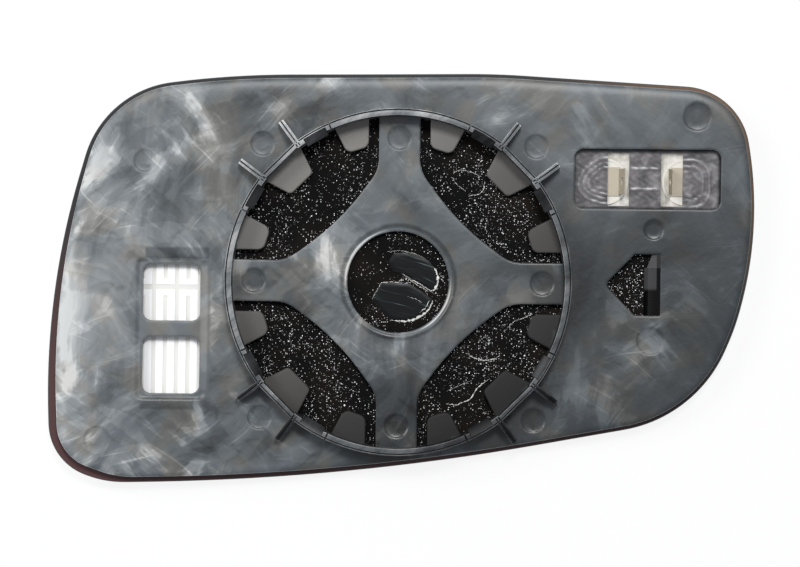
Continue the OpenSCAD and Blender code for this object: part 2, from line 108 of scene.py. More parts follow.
RECESS_X, RECESS_Y, RECESS_W, RECESS_H, RECESS_ROUND = 61.9, 26.4, 36.4, 14.9, 2.3
COVER_T, COVER_LAP, COVER_SLOT_PITCH, COVER_SLOT_W, COVER_SLOT_H = 0.25, 1.5, 13.3, 5.4, 13.4
TERMINAL_X = RECESS_X - 0.4
LATCH_X, LATCH_FLAT, LATCH_POINT, LATCH_H, LATCH_ROUND = 65.3, 6.3, 7.4, 15.3, 1.5
RAMP_W, RAMP_GAP = 3.8, 3.4
MARK_T = 0.25
MARKS = [(36 * math.cos(a), 36 * math.sin(a), 3.0) for a in (0, math.pi / 2, math.pi, 1.5 * math.pi)]
MARKS += [(sx * 34.15, sy * 34.15, 3.0) for sx in (-1, 1) for sy in (-1, 1)]
MARKS += [(-63.4, 29.5, 2.8), (74, 42, 3.5), (63.6, 13.8, 2.5), (63, -14, 3.4), (-74.5, -40, 3.2)]
print("ejector marks:", len(MARKS))

# %% [markdown]
# ## Outlines
#
# An outline is a list of corners, each with a radius, made into points that go round anticlockwise.

# %% Functions for outlines


def at_angle(r, degrees):
    """The point at a radius and an angle about the hub's axis."""
    return np.array([r * math.cos(math.radians(degrees)), r * math.sin(math.radians(degrees))])


def corner_arc(before, corner, after, error=0.008):
    """The arc that rounds one corner, in chords that stay within error of it."""
    here, r = np.array(corner[:2], float), corner[2]
    if r == 0:
        return [here]
    to_before = np.array(before[:2]) - here
    to_after = np.array(after[:2]) - here
    to_before = to_before / np.linalg.norm(to_before)
    to_after = to_after / np.linalg.norm(to_after)
    half = math.acos(float(to_before @ to_after)) / 2
    middle = here + (to_before + to_after) / np.linalg.norm(to_before + to_after) * r / math.sin(half)
    start = here + to_before * r / math.tan(half) - middle
    turn = 1 if to_before[0] * to_after[1] - to_before[1] * to_after[0] < 0 else -1
    sweep = turn * (math.pi - 2 * half)
    first = math.atan2(start[1], start[0])
    steps = max(2, math.ceil(abs(sweep) / 2 / math.acos(1 - error / max(r, error))))
    return [middle + r * np.array([math.cos(first + sweep * i / steps), math.sin(first + sweep * i / steps)])
            for i in range(steps + 1)]


def rounded(corners):
    """The outline through corners given as (x, y, radius)."""
    n = len(corners)
    points = []
    for i in range(n):
        points += corner_arc(corners[i - 1], corners[i], corners[(i + 1) % n])
    return np.array(points)


def box_outline(x, y, w, h, r):
    return rounded([(x + w / 2, y + h / 2, r), (x - w / 2, y + h / 2, r),
                    (x - w / 2, y - h / 2, r), (x + w / 2, y - h / 2, r)])


def circle(x, y, r, n):
    return np.array([(x + r * math.cos(2 * math.pi * i / n), y + r * math.sin(2 * math.pi * i / n))
                     for i in range(n)])


def plate_outline(margin=0.0):
    """The glass's outline moved in by the rim of each side, and then by a margin."""
    corners = []
    n = len(GLASS_CORNERS)
    for i in range(n):
        before, here, after = GLASS_CORNERS[i - 1], GLASS_CORNERS[i], GLASS_CORNERS[(i + 1) % n]
        into = np.array(here[:2]) - np.array(before[:2])
        out = np.array(after[:2]) - np.array(here[:2])
        into = into / np.linalg.norm(into)
        out = out / np.linalg.norm(out)
        move_in, move_out = before[3] + margin, here[3] + margin
        moved = np.array(here[:2]) + (out * move_in - into * move_out) / (into[0] * out[1] - into[1] * out[0])
        corners.append((moved[0], moved[1], max(2, here[2] - (move_in + move_out) / 2)))
    return rounded(corners)


def densify(loop, step):
    """Adds points along an outline so that none are further apart than step."""
    points = []
    for a, b in zip(loop, np.roll(loop, -1, axis=0)):
        n = max(1, math.ceil(np.linalg.norm(b - a) / step))
        points += [a + (b - a) * i / n for i in range(n)]
    return np.array(points)


def quadrant_opening():
    """The opening between two spokes, with its three teeth and the gaps for two hooks."""
    inner = RING_R - RING_WALL
    half = SPOKE_W / 2
    middle = HUB_REACH - HUB_BOW_R * (1 / math.cos(HUB_BOW_TURN) - 1)
    along = (middle - SPOKE_W / math.sqrt(2)) / (1 - math.tan(HUB_BOW_TURN))
    corner = math.sqrt(2) * along + half
    hook_half = math.degrees(math.asin(HOOK_W / 2 / RING_R)) + 0.3
    side = half + SIDE_TOOTH_GAP

    def meet(out_angle, in_angle):
        """The angle where a tooth's edge crosses the ring's inner wall."""
        a, b = at_angle(RING_R, out_angle), at_angle(TOOTH_R, in_angle)
        low, high = 0.0, 1.0
        for _ in range(40):
            middle = (low + high) / 2
            low, high = (middle, high) if np.linalg.norm(a + (b - a) * middle) > inner else (low, middle)
        p = a + (b - a) * low
        return math.degrees(math.atan2(p[1], p[0]))

    def arc(r, start, end):
        n = max(1, math.ceil(abs(end - start) / 1.5))
        return [(*at_angle(r, start + (end - start) * i / n), 0) for i in range(n + 1)]

    side_end, mid_start = meet(23.3, 22.2), meet(45 - 8.7, 45 - 6.4)
    hook_low, hook_high = 45 - HOOK_ANGLE - hook_half, 45 - HOOK_ANGLE + hook_half
    first = [(corner, half, HUB_FILLET)]
    first += arc(inner, math.degrees(math.asin(half / inner)), math.degrees(math.asin(side / inner)))
    first += [(math.sqrt(TOOTH_R**2 - side**2), side, 2), (*at_angle(TOOTH_R, 22.2), 2)]
    first += arc(inner, side_end, hook_low)
    first += arc(RING_R - HOOK_WALL, hook_low, hook_high)
    first += arc(inner, hook_high, mid_start)
    first += [(*at_angle(TOOTH_R, 45 - 6.4), 1.3)]
    second = [(y, x, r) for x, y, r in reversed(first)]
    bow = (middle / math.sqrt(2), middle / math.sqrt(2), HUB_BOW_R)
    return rounded(first + second + [bow])


def turned(loop, quarter):
    c, s = [(1, 0), (0, 1), (-1, 0), (0, -1)][quarter]
    return np.array([(c * x - s * y, s * x + c * y) for x, y in loop])


def latch_outline():
    return rounded([(LATCH_X, LATCH_H / 2, 0.3), (LATCH_X - LATCH_FLAT, LATCH_H / 2, 0.4),
                    (LATCH_X - LATCH_FLAT - LATCH_POINT, 0, LATCH_ROUND),
                    (LATCH_X - LATCH_FLAT, -LATCH_H / 2, 0.4), (LATCH_X, -LATCH_H / 2, 0.3)])


def windows(grow=0.0):
    return [box_outline(WINDOW_X, WINDOW_Y - i * (WINDOW_H + WINDOW_BAR), WINDOW_W + 2 * grow,
                        WINDOW_H + 2 * grow, WINDOW_ROUND) for i in (0, 1)]


opening = quadrant_opening()
print("points round one opening between the spokes:", len(opening))

# %% [markdown]
# ## From outlines to curved sheets
#
# A sheet is a solid between two heights over a flat region. Its points are those of the outline and
# the holes, rows that follow them closely where an edge is rounded, and a plain grid in between.

# %% Functions for meshes


def inside(points, loop):
    """Which of the points lie inside an outline."""
    x, y = points[:, 0][:, None], points[:, 1][:, None]
    ax, ay = loop[:, 0][None], loop[:, 1][None]
    bx, by = np.roll(loop[:, 0], -1)[None], np.roll(loop[:, 1], -1)[None]
    result = np.zeros(len(points), bool)
    for k in range(0, len(points), 4000):
        s = slice(k, k + 4000)
        crosses = (ay > y[s]) != (by > y[s])
        with np.errstate(divide="ignore", invalid="ignore"):
            hit = x[s] < (bx - ax) * (y[s] - ay) / (by - ay) + ax
        result[s] = (crosses & hit).sum(1) % 2 == 1
    return result


def distance(points, loops):
    """How far each point is from the nearest of some outlines."""
    a = np.concatenate(loops)
    b = np.concatenate([np.roll(loop, -1, axis=0) for loop in loops])
    along = b - a
    length2 = np.maximum((along**2).sum(1), 1e-12)
    result = np.empty(len(points))
    for k in range(0, len(points), 2000):
        p = points[k:k + 2000, None, :]
        t = np.clip(((p - a) * along).sum(2) / length2, 0, 1)
        result[k:k + 2000] = np.sqrt(((p - a - t[..., None] * along)**2).sum(2)).min(1)
    return result


def rows_along(loop, offset, step, all_loops):
    """Points beside an outline, at an offset from it, that keep that distance from every outline."""
    points = densify(loop, step)
    along = np.roll(points, -1, axis=0) - np.roll(points, 1, axis=0)
    along /= np.maximum(np.linalg.norm(along, axis=1), 1e-9)[:, None]
    normal = np.stack([-along[:, 1], along[:, 0]], 1)
    moved = points + normal * offset
    return moved[distance(moved, all_loops) > abs(offset) * 0.93]


def dome(x, y, level):
    """Height of the shell that has this level on the hub's axis."""
    return CENTRE_Z - np.sqrt((CENTRE_Z - level)**2 - x**2 - y**2)


def shoulder(d, width, depth):
    """How much an edge is rounded off at a distance d from it."""
    t = np.clip(1 - d / width, 0, 1)
    return depth * (1 - np.sqrt(1 - t * t))


def soft_step(t):
    t = np.clip(t, 0, 1)
    return t * t * (3 - 2 * t)


def new_mesh(name, vertices, faces, materials, sharp=38):
    """A mesh object from points in millimetres, smooth except across sharp edges."""
    mesh = bpy.data.meshes.new(name)
    mesh.from_pydata([tuple(v) for v in np.asarray(vertices, float) * MM], [], [tuple(f) for f in faces])
    mesh.validate()
    for polygon in mesh.polygons:
        polygon.use_smooth = True
    mesh.set_sharp_from_angle(angle=math.radians(sharp))
    obj = bpy.data.objects.new(name, mesh)
    bpy.context.collection.objects.link(obj)
    for material in materials:
        mesh.materials.append(material)
    return obj


def triangulate(outline, holes, extra):
    """Points and anticlockwise triangles of a region with holes."""
    loops = [outline, *holes]
    points = np.concatenate([*loops, extra]) if len(extra) else np.concatenate(loops)
    edges, start = [], 0
    for loop in loops:
        n = len(loop)
        edges += [(start + i, start + (i + 1) % n) for i in range(n)]
        start += n
    result = delaunay_2d_cdt([Vector(p) for p in points], edges, [], 0, 1e-6, False)
    flat = np.array([tuple(v) for v in result[0]])
    triangles = np.array([tuple(f) for f in result[2]])
    middle = flat[triangles].mean(axis=1)
    keep = inside(middle, outline)
    for hole in holes:
        keep &= ~inside(middle, hole)
    triangles = triangles[keep]
    a, b, c = (flat[triangles[:, i]] for i in range(3))
    area = (b[:, 0] - a[:, 0]) * (c[:, 1] - a[:, 1]) - (b[:, 1] - a[:, 1]) * (c[:, 0] - a[:, 0])
    triangles[area < 0] = triangles[area < 0][:, ::-1]
    return flat, triangles[np.abs(area) > 1e-7]


def sheet(name, outline, holes, extra, top, bottom, materials):
    """A closed solid over a region; top and bottom give the heights at its points."""
    flat, triangles = triangulate(outline, holes, extra)
    n = len(flat)
    high = np.column_stack([flat, top(flat)])
    low = np.column_stack([flat, bottom(flat)])
    directed = {}
    for t in triangles:
        for i in range(3):
            directed[(t[i], t[(i + 1) % 3])] = True
    walls = [(a, a + n, b + n, b) for a, b in directed if (b, a) not in directed]
    faces = [tuple(t) for t in triangles] + [tuple(t[::-1] + n) for t in triangles] + walls
    obj = new_mesh(name, np.concatenate([high, low]), faces, materials)
    return obj, flat


def grid(outline, step, loops, clearance):
    """A plain grid of points inside an outline that keeps clear of every outline."""
    low, high = outline.min(0), outline.max(0)
    xs = np.arange(low[0], high[0], step)
    ys = np.arange(low[1], high[1], step)
    points = np.array([(x, y) for x in xs for y in ys])
    points = points[inside(points, outline)]
    return points[distance(points, loops) > clearance]


def solid_from_sections(sections, closed=False):
    """Vertices and faces of a solid through a row of sections with the same number of points."""
    m = len(sections[0])
    vertices = [p for section in sections for p in section]
    faces = []
    rows = len(sections) if closed else len(sections) - 1
    for i in range(rows):
        a, b = i * m, (i + 1) % len(sections) * m
        faces += [(a + j, a + (j + 1) % m, b + (j + 1) % m, b + j) for j in range(m)]
    if not closed:
        faces.append(tuple(reversed(range(m))))
        faces.append(tuple((len(sections) - 1) * m + j for j in range(m)))
    return vertices, faces


def join_parts(parts):
    """One list of vertices and one of faces from several."""
    vertices, faces = [], []
    for v, f in parts:
        base = len(vertices)
        vertices += list(v)
        faces += [tuple(base + i for i in face) for face in f]
    return vertices, faces


# %% [markdown]
# ## Materials
#
# Each is named for what the real thing is made of; some names also tell of the painted light and shade in them.
# Patterns are on object coordinates, so their scales are in repeats per metre.

# %% Functions for materials


def srgb(text, alpha=1.0):
    """A linear colour from a hex colour."""
    parts = [int(text[i:i + 2], 16) / 255 for i in (1, 3, 5)]
    return tuple(c / 12.92 if c <= 0.04045 else ((c + 0.055) / 1.055) ** 2.4 for c in parts) + (alpha,)


def add(tree, kind, inputs=None, **settings):
    """Adds a node; inputs are values or sockets by name or number, and settings are its properties."""
    node = tree.nodes.new(kind)
    for key, value in settings.items():
        setattr(node, key, value)
    for key, value in (inputs or {}).items():
        if isinstance(value, bpy.types.NodeSocket):
            tree.links.new(value, node.inputs[key])
        else:
            node.inputs[key].default_value = value
    return node


def new_material(name):
    material = bpy.data.materials.new(name)
    material.use_nodes = True
    tree = material.node_tree
    return material, tree, tree.nodes["Principled BSDF"]


def plain(name, colour, roughness, metallic=0.0):
    """A material of one colour."""
    material, tree, shader = new_material(name)
    shader.inputs["Base Color"].default_value = srgb(colour)
    shader.inputs["Roughness"].default_value = roughness
    shader.inputs["Metallic"].default_value = metallic
    return material


def maths(tree, operation, a, b=0.0, c=0.0, clamp=False):
    return add(tree, "ShaderNodeMath", {0: a, 1: b, 2: c}, operation=operation, use_clamp=clamp).outputs[0]


def blend(tree, share, first, second):
    """A mix of two colours or colour sockets; the share is that of the second."""
    return add(tree, "ShaderNodeMix", {"Factor": share, 6: first, 7: second}, data_type="RGBA").outputs[2]


def blend_values(tree, share, first, second):
    return add(tree, "ShaderNodeMix", {"Factor": share, 2: first, 3: second}, data_type="FLOAT").outputs[0]


def noise_of(tree, coordinates, scale, detail, **more):
    """Plain noise; the scale is in repeats per metre."""
    inputs = {"Vector": coordinates, "Scale": scale, "Detail": detail, **more}
    return add(tree, "ShaderNodeTexNoise", inputs).outputs["Fac"]


def attribute_of(tree, name):
    return add(tree, "ShaderNodeAttribute", attribute_name=name).outputs["Fac"]


def paint_with(tree, shader, colour, roughness, gloss=0.5):
    """Gives the shader a colour socket and two numbers."""
    tree.links.new(colour, shader.inputs["Base Color"])
    shader.inputs["Roughness"].default_value = roughness
    shader.inputs["Specular IOR Level"].default_value = gloss


def ramp(tree, value, stops):
    """A colour ramp through (place, colour) stops."""
    node = add(tree, "ShaderNodeValToRGB", {"Fac": value})
    elements = node.color_ramp.elements
    while len(elements) < len(stops):
        elements.new(0.5)
    for element, (place, colour) in zip(elements, stops):
        element.position = place
        element.color = srgb(colour)
    return node.outputs["Color"]


def coordinates_of(tree):
    """The object's own coordinates, in metres."""
    return add(tree, "ShaderNodeTexCoord").outputs["Object"]


def wandering(tree, coordinates, scale, amount):
    """Coordinates pushed to and fro by slow noise, so that what is drawn on them swirls."""
    noise = add(tree, "ShaderNodeTexNoise", {"Vector": coordinates, "Scale": scale, "Detail": 1.0})
    centred = add(tree, "ShaderNodeVectorMath", {0: noise.outputs["Color"], 1: (0.5, 0.5, 0.5)},
                  operation="SUBTRACT")
    pushed = add(tree, "ShaderNodeVectorMath", {0: centred.outputs[0], "Scale": amount}, operation="SCALE")
    total = add(tree, "ShaderNodeVectorMath", {0: coordinates, 1: pushed.outputs[0]}, operation="ADD")
    return total.outputs[0]


def strokes(tree, coordinates, turn, along, across, detail, roughness=0.6, offset=0.0):
    """Noise drawn out in one direction, as wiped grease is; scales are in repeats per metre."""
    turned_to = add(tree, "ShaderNodeMapping", {"Vector": coordinates, "Rotation": (0, 0, math.radians(-turn))})
    drawn_out = add(tree, "ShaderNodeMapping", {
        "Vector": turned_to.outputs[0], "Location": (offset, offset, offset), "Scale": (along, across, 30)})
    noise = add(tree, "ShaderNodeTexNoise", {
        "Vector": drawn_out.outputs[0], "Scale": 1.0, "Detail": detail, "Roughness": roughness})
    return noise.outputs["Fac"]


def spread(tree, value, low, high, to_low=0.0, to_high=1.0, smooth=True):
    """Maps a range of values to another one, and holds it at the ends."""
    node = add(tree, "ShaderNodeMapRange", {
        "Value": value, "From Min": low, "From Max": high, "To Min": to_low, "To Max": to_high},
        interpolation_type="SMOOTHSTEP" if smooth else "LINEAR")
    return node.outputs[0]


def patch(tree, coordinates, x, y, radius, amount):
    """A soft round patch about a place given in millimetres."""
    away = add(tree, "ShaderNodeVectorMath", {0: coordinates, 1: (x * MM, y * MM, 0.001)}, operation="DISTANCE")
    return spread(tree, away.outputs["Value"], 0.0, radius * MM, amount, 0.0)


# %% Plastic with greasy smears, and with painted light and shade

# Colours of the plate from dark to pale, for thin to thick smears and for painted shade to painted light, where
# they are cool and where they are warm
SMEAR_AND_LIGHT_STOPS = [(0.0, "#16181a"), (0.3, "#393e41"), (0.52, "#5b6165"), (0.74, "#858a8c"), (1.0, "#c6c8c7")]
WARM_STOPS = [(0.0, "#181817"), (0.3, "#3e3f3d"), (0.52, "#63635f"), (0.74, "#8c8b87"), (1.0, "#c9c8c4")]
# Colours of the teeth, free of smears, from the lower right to the upper left; the change between them is
# painted light from the upper left
TOOTH_STOPS = [(0.2, "#262626"), (0.33, "#373635"), (0.45, "#504e4c"), (0.57, "#5d5b59"), (0.77, "#83807c")]
# Where the film of grease is thicker or thinner: x, y, radius and how much
THICKER = [(-84, -8, 24, 0.34), (-86, -36, 22, 0.16), (-70, 8, 20, 0.08), (56, 44, 34, 0.08),
           (-26, 44, 30, -0.12), (46, 0, 20, -0.19), (0, -36, 20, -0.27), (64, 12, 16, -0.12),
           (28, -30, 22, -0.12), (-12, 8, 20, 0.12), (-50, 20, 20, -0.07), (52, -32, 26, -0.08),
           (-60, 40, 24, -0.06), (0, -50, 14, -0.2), (72, 0, 26, -0.13), (-52, -36, 22, -0.09),
           (-30, 1, 15, -0.11), (30, 1, 14, -0.11)]
# Darker bands above and below the windows, painted shade where the frame's edges slope, and a paler one beside
# them: x, y, width, height and how much
BANDS = [(-55.1, 6.6, 15.8, 2.7, -0.17), (-57.3, -30.9, 13.4, 3.0, -0.15), (-48.3, -12.0, 1.8, 31.0, 0.1)]


def edge_wear_highlight_wall_shade(tree, tone, paler, darker):
    """Rounded edges are paler, partly from rubbing and partly as a painted highlight, and upright walls darker
    as painted shade; the face's own slope tells them apart.
    """
    normal = add(tree, "ShaderNodeNewGeometry").outputs["True Normal"]
    up = add(tree, "ShaderNodeSeparateXYZ", {0: normal}).outputs["Z"]
    tilted = maths(tree, "MULTIPLY", spread(tree, up, 0.2, 0.5), spread(tree, up, 0.72, 0.86, 1.0, 0.0))
    tone = maths(tree, "MULTIPLY_ADD", tilted, paler, tone)
    return maths(tree, "MULTIPLY_ADD", spread(tree, up, 0.05, 0.3, 1.0, 0.0), darker, tone)


def worn_plastic_painted_light(name, lift, fall, edges):
    """Clean plastic with pale edges, partly rubbed and partly a painted highlight, and its groove darkened as
    painted shade; paler at the top and the left as painted light.
    """
    material, tree, shader = new_material(name)
    coordinates = coordinates_of(tree)
    place = add(tree, "ShaderNodeSeparateXYZ", {0: coordinates})
    # Paler towards the left and the top: painted light from the upper left and above
    tone = maths(tree, "MULTIPLY_ADD", place.outputs["X"], -2.6, 0.44 + lift)
    tone = maths(tree, "MULTIPLY_ADD", place.outputs["Y"], fall, tone)
    wiped = strokes(tree, coordinates, 40, 70, 190, 5, 0.65)
    tone = maths(tree, "MULTIPLY_ADD", maths(tree, "SUBTRACT", wiped, 0.5), 1.1, tone)
    # Paler rounded edges, partly rubbed and partly a painted highlight; darker upright walls, painted shade
    tone = edge_wear_highlight_wall_shade(tree, tone, edges, -0.25)
    # The groove's floor is darkened: painted shade
    tone = maths(tree, "MULTIPLY_ADD", attribute_of(tree, "groove"), -0.8, tone, clamp=True)
    colour = ramp(tree, tone, [(0.0, "#0f1011"), (0.3, "#323436"), (0.6, "#6a6d6f"), (1.0, "#c9cac9")])
    paint_with(tree, shader, colour, 0.36, 0.22)
    return material


def band(tree, place, x, y, w, h, amount):
    """A soft-edged box about a place; the sizes are in millimetres."""
    sides = []
    for axis, middle, size in (("X", x, w), ("Y", y, h)):
        away = maths(tree, "ABSOLUTE", maths(tree, "SUBTRACT", place.outputs[axis], middle * MM))
        sides.append(spread(tree, away, (size / 2 - 0.4) * MM, (size / 2 + 0.4) * MM, 1.0, 0.0))
    return maths(tree, "MULTIPLY", maths(tree, "MULTIPLY", *sides), amount)


def smeared_plastic_painted_light(name):
    """Dark moulded plastic under a wiped film of grease; paler at the left and the top, partly from thicker
    grease and partly as painted light from the upper left.
    """
    material, tree, shader = new_material(name)
    coordinates = coordinates_of(tree)
    place = add(tree, "ShaderNodeSeparateXYZ", {0: coordinates})
    # Paler towards the left and the top: partly thicker grease, partly painted light from the upper left
    tone = maths(tree, "MULTIPLY_ADD", place.outputs["X"], -1.7, 0.44)
    tone = maths(tree, "MULTIPLY_ADD", place.outputs["Y"], 1.2, tone)
    for x, y, radius, amount in THICKER:
        tone = maths(tree, "ADD", tone, patch(tree, coordinates, x, y, radius, amount))
    swirled = wandering(tree, coordinates, 30, 0.012)
    layers = [(34, 38, 150, 4, 0.0), (-52, 34, 160, 4, 3.1), (82, 32, 140, 4, 6.3)]
    first, second, third = (strokes(tree, swirled, turn, along, across, detail, 0.62, offset)
                            for turn, along, across, detail, offset in layers)
    wiped = blend_values(tree, spread(tree, noise_of(tree, coordinates, 38, 1), 0.42, 0.58), first, second)
    wiped = blend_values(tree, spread(tree, noise_of(tree, swirled, 30, 1), 0.46, 0.62), wiped, third)
    detail = maths(tree, "MULTIPLY", maths(tree, "SUBTRACT", wiped, 0.5), 0.75)
    blotches = noise_of(tree, swirled, 48, 3, Distortion=0.6)
    detail = maths(tree, "MULTIPLY_ADD", maths(tree, "SUBTRACT", blotches, 0.5), 0.4, detail)
    wet = spread(tree, maths(tree, "MULTIPLY", blotches, wiped), 0.31, 0.36)
    detail = maths(tree, "MULTIPLY_ADD", wet, 0.12, detail)
    for turn, offset in ((50, 9.0), (-38, 12.0), (12, 15.0)):
        flakes = strokes(tree, swirled, turn, 42, 120, 4, 0.55, offset)
        detail = maths(tree, "ADD", detail, spread(tree, flakes, 0.56, 0.6, 0.0, 0.06))
        detail = maths(tree, "ADD", detail, spread(tree, flakes, 0.38, 0.43, -0.06, 0.0))
        threads = maths(tree, "MULTIPLY", spread(tree, flakes, 0.54, 0.64),
                        spread(tree, strokes(tree, swirled, turn, 60, 1400, 2, 0.5, offset), 0.58, 0.7))
        detail = maths(tree, "MULTIPLY_ADD", threads, 0.13, detail)
    for turn, offset in ((62, 1.0), (-28, 5.0)):
        hairs = strokes(tree, swirled, turn, 90, 2200, 2, 0.5, offset)
        detail = maths(tree, "MULTIPLY_ADD", spread(tree, hairs, 0.68, 0.75), 0.06, detail)
    lively = maths(tree, "MULTIPLY_ADD", place.outputs["X"], -4.5, noise_of(tree, coordinates, 22, 1))
    detail = maths(tree, "MULTIPLY", detail, spread(tree, lively, 0.3, 0.6, 0.5, 1.15))
    calm = band(tree, place, WINDOW_X + 1, -12.4, 17.5, 33.5, -0.7)
    tone = maths(tree, "MULTIPLY_ADD", detail, maths(tree, "ADD", calm, 1.0), tone)
    # Painted shade in the bands along the frame's upper and lower edges; the band beside them is paler
    for box in BANDS:
        tone = maths(tree, "ADD", tone, band(tree, place, *box))
    # Painted sheen, shade and highlights at the edge and the hub, and darker ejector marks
    tone = maths(tree, "ADD", tone, attribute_of(tree, "sheen_shade_and_marks"))
    # Paler rounded edges, partly rubbed and partly a painted highlight; darker upright walls, painted shade
    tone = edge_wear_highlight_wall_shade(tree, tone, 0.22, -0.3)
    tone = maths(tree, "ADD", tone, 0.0, clamp=True)
    warm = spread(tree, noise_of(tree, swirled, 95, 3), 0.45, 0.62)
    colour = blend(tree, warm, ramp(tree, tone, SMEAR_AND_LIGHT_STOPS), ramp(tree, tone, WARM_STOPS))
    teeth = attribute_of(tree, "teeth")
    # The teeth are paler towards the upper left: painted light
    teeth_light = maths(tree, "MULTIPLY_ADD", place.outputs["X"], -4.0, 0.5)
    teeth_light = maths(tree, "MULTIPLY_ADD", place.outputs["Y"], 6.5, teeth_light, clamp=True)
    colour = blend(tree, teeth, colour, ramp(tree, teeth_light, TOOTH_STOPS))
    roughness = blend_values(tree, teeth, maths(tree, "MULTIPLY_ADD", tone, 0.3, 0.26), 0.62)
    gloss = maths(tree, "MULTIPLY_ADD", teeth, -0.35, 0.5)
    tree.links.new(gloss, shader.inputs["Specular IOR Level"])
    tree.links.new(colour, shader.inputs["Base Color"])
    tree.links.new(roughness, shader.inputs["Roughness"])
    relief = maths(tree, "MULTIPLY_ADD", tone, 1.5, noise_of(tree, coordinates, 900, 3))
    bump = add(tree, "ShaderNodeBump", {"Height": relief, "Strength": 0.25, "Distance": 0.0001})
    tree.links.new(bump.outputs[0], shader.inputs["Normal"])
    return material


def polished_plastic_painted_light(name):
    """Black plastic, with painted light that makes the upper part of the ramp paler, except along its right
    edge.
    """
    material, tree, shader = new_material(name)
    place = add(tree, "ShaderNodeSeparateXYZ", {0: coordinates_of(tree)})
    upper = spread(tree, place.outputs["Y"], -1.6 * MM, -0.6 * MM)
    left = spread(tree, place.outputs["X"], (LATCH_X - 1.0) * MM, (LATCH_X - 0.7) * MM, 1.0, 0.0)
    colour = blend(tree, maths(tree, "MULTIPLY", upper, left), srgb("#060606"), srgb("#3d3d3e"))
    paint_with(tree, shader, colour, 0.3, 0.14)
    return material


# Satin plastic of the plate, with smears and painted light and shade; the teeth inside the ring are free of
# smears, matte, and painted paler towards the upper left
plate_plastic = smeared_plastic_painted_light("carrier_plastic_smeared_painted_light")
# The same plastic on the ring, where the adjuster has rubbed it, with painted light that makes it paler at the
# top and the left
ring_plastic = worn_plastic_painted_light("carrier_plastic_ring", 0.1, 2.6, 0.3)
# The ribs are painted pale at the top and nearly black at the bottom: painted light and shade
rib_plastic = worn_plastic_painted_light("carrier_plastic_ribs", -0.02, 7.5, 0.3)
# The hooks are free of smears, and painted darker, most of all towards the lower right, as the shade under the
# ring
hook_plastic = worn_plastic_painted_light("carrier_plastic_hooks_painted_shade", -0.34, 2.0, 0.1)
# The ramp was moulded against polished steel, so it is black; its paler upper part is painted light
ramp_plastic = polished_plastic_painted_light("carrier_plastic_polished")
print("plastic materials:", plate_plastic.name, ring_plastic.name, hook_plastic.name, ramp_plastic.name)

# %% Glass, pad, heater and terminals


def back_paint():
    """Dark paint on the glass's back: black, and maroon-brown towards the lower left and the bottom."""
    material, tree, shader = new_material("mirror_back_paint")
    coordinates = coordinates_of(tree)
    place = add(tree, "ShaderNodeSeparateXYZ", {0: coordinates})
    low_left = maths(tree, "MULTIPLY_ADD", place.outputs["Y"], -22.0, 0.1)
    low_left = maths(tree, "MULTIPLY_ADD", place.outputs["X"], -4.0, low_left, clamp=True)
    top_right = maths(tree, "MULTIPLY_ADD", place.outputs["X"], 26.0, -2.1)
    top_right = maths(tree, "MULTIPLY_ADD", place.outputs["Y"], 22.0, top_right, clamp=True)
    maroon = ramp(tree, low_left, [(0.0, "#17171a"), (0.6, "#3d2724"), (1.0, "#4a2c2b")])
    paint_with(tree, shader, blend(tree, top_right, maroon, srgb("#6f5238")), 0.35)
    return material


# Where the pad has more or fewer specks: x, y, radius and how much
CROWDED = [(59, -2, 9, 0.36), (22, -15, 7, 0.3), (-7, 1, 11, -0.3), (9, -8, 6, 0.34), (3, 11, 6, 0.2)]


def speckled_pad():
    """Black pad with many small pale specks, more of them in some places than in others."""
    material, tree, shader = new_material("adhesive_pad_speckled")
    coordinates = coordinates_of(tree)
    crowd = maths(tree, "SUBTRACT", noise_of(tree, coordinates, 160, 2), 0.5)
    for place in CROWDED:
        crowd = maths(tree, "ADD", crowd, patch(tree, coordinates, *place))
    total = None
    for scale, size, level in ((2300, 0.28, 0.72), (1600, 0.2, 0.78), (1000, 0.17, 0.88)):
        cells = add(tree, "ShaderNodeTexVoronoi", {"Vector": coordinates, "Scale": scale},
                    voronoi_dimensions="2D")
        chance = add(tree, "ShaderNodeSeparateColor", {0: cells.outputs["Color"]})
        reach = maths(tree, "MULTIPLY_ADD", chance.outputs[2], size, 0.04)
        near = maths(tree, "LESS_THAN", cells.outputs["Distance"], reach)
        lucky = maths(tree, "GREATER_THAN", maths(tree, "ADD", chance.outputs[0], crowd), level)
        bright = maths(tree, "POWER", chance.outputs[1], 2.2)
        speck = maths(tree, "MULTIPLY", maths(tree, "MULTIPLY", near, lucky), bright)
        total = speck if total is None else maths(tree, "MAXIMUM", total, speck)
    base = ramp(tree, noise_of(tree, coordinates, 70, 2), [(0.42, "#050505"), (0.66, "#15100c")])
    paint_with(tree, shader, blend(tree, total, base, srgb("#ffffff")), 0.5, 0.06)
    return material


def streaky_film():
    """Dark film with fine pale streaks where it was stretched."""
    material, tree, shader = new_material("pad_blister_film")
    swirled = wandering(tree, coordinates_of(tree), 90, 0.007)
    tone = spread(tree, strokes(tree, swirled, -14, 45, 1300, 3, 0.6), 0.5, 0.72)
    colour = ramp(tree, tone, [(0.0, "#060809"), (0.35, "#0f1719"), (0.7, "#303a3b"), (1.0, "#7b8587")])
    paint_with(tree, shader, colour, 0.35, 0.2)
    return material


def smoky_film():
    """Smoky film that lets the pad below show through as a mottled grey, painted paler on its ridges as a
    highlight and darker under the plate's edge as shade.
    """
    material, tree, shader = new_material("cover_film_smoky")
    mottle = noise_of(tree, coordinates_of(tree), 300, 4, Distortion=0.6)
    # Painted highlight on the ridges and painted shade under the plate's edge
    mottle = maths(tree, "MULTIPLY_ADD", attribute_of(tree, "raised"), 0.2, mottle)
    colour = ramp(tree, mottle, [(0.05, "#131314"), (0.3, "#48474a"), (0.5, "#625f60"), (0.72, "#89878a"),
                                 (1.0, "#c4c2c3")])
    paint_with(tree, shader, colour, 0.3)
    return material


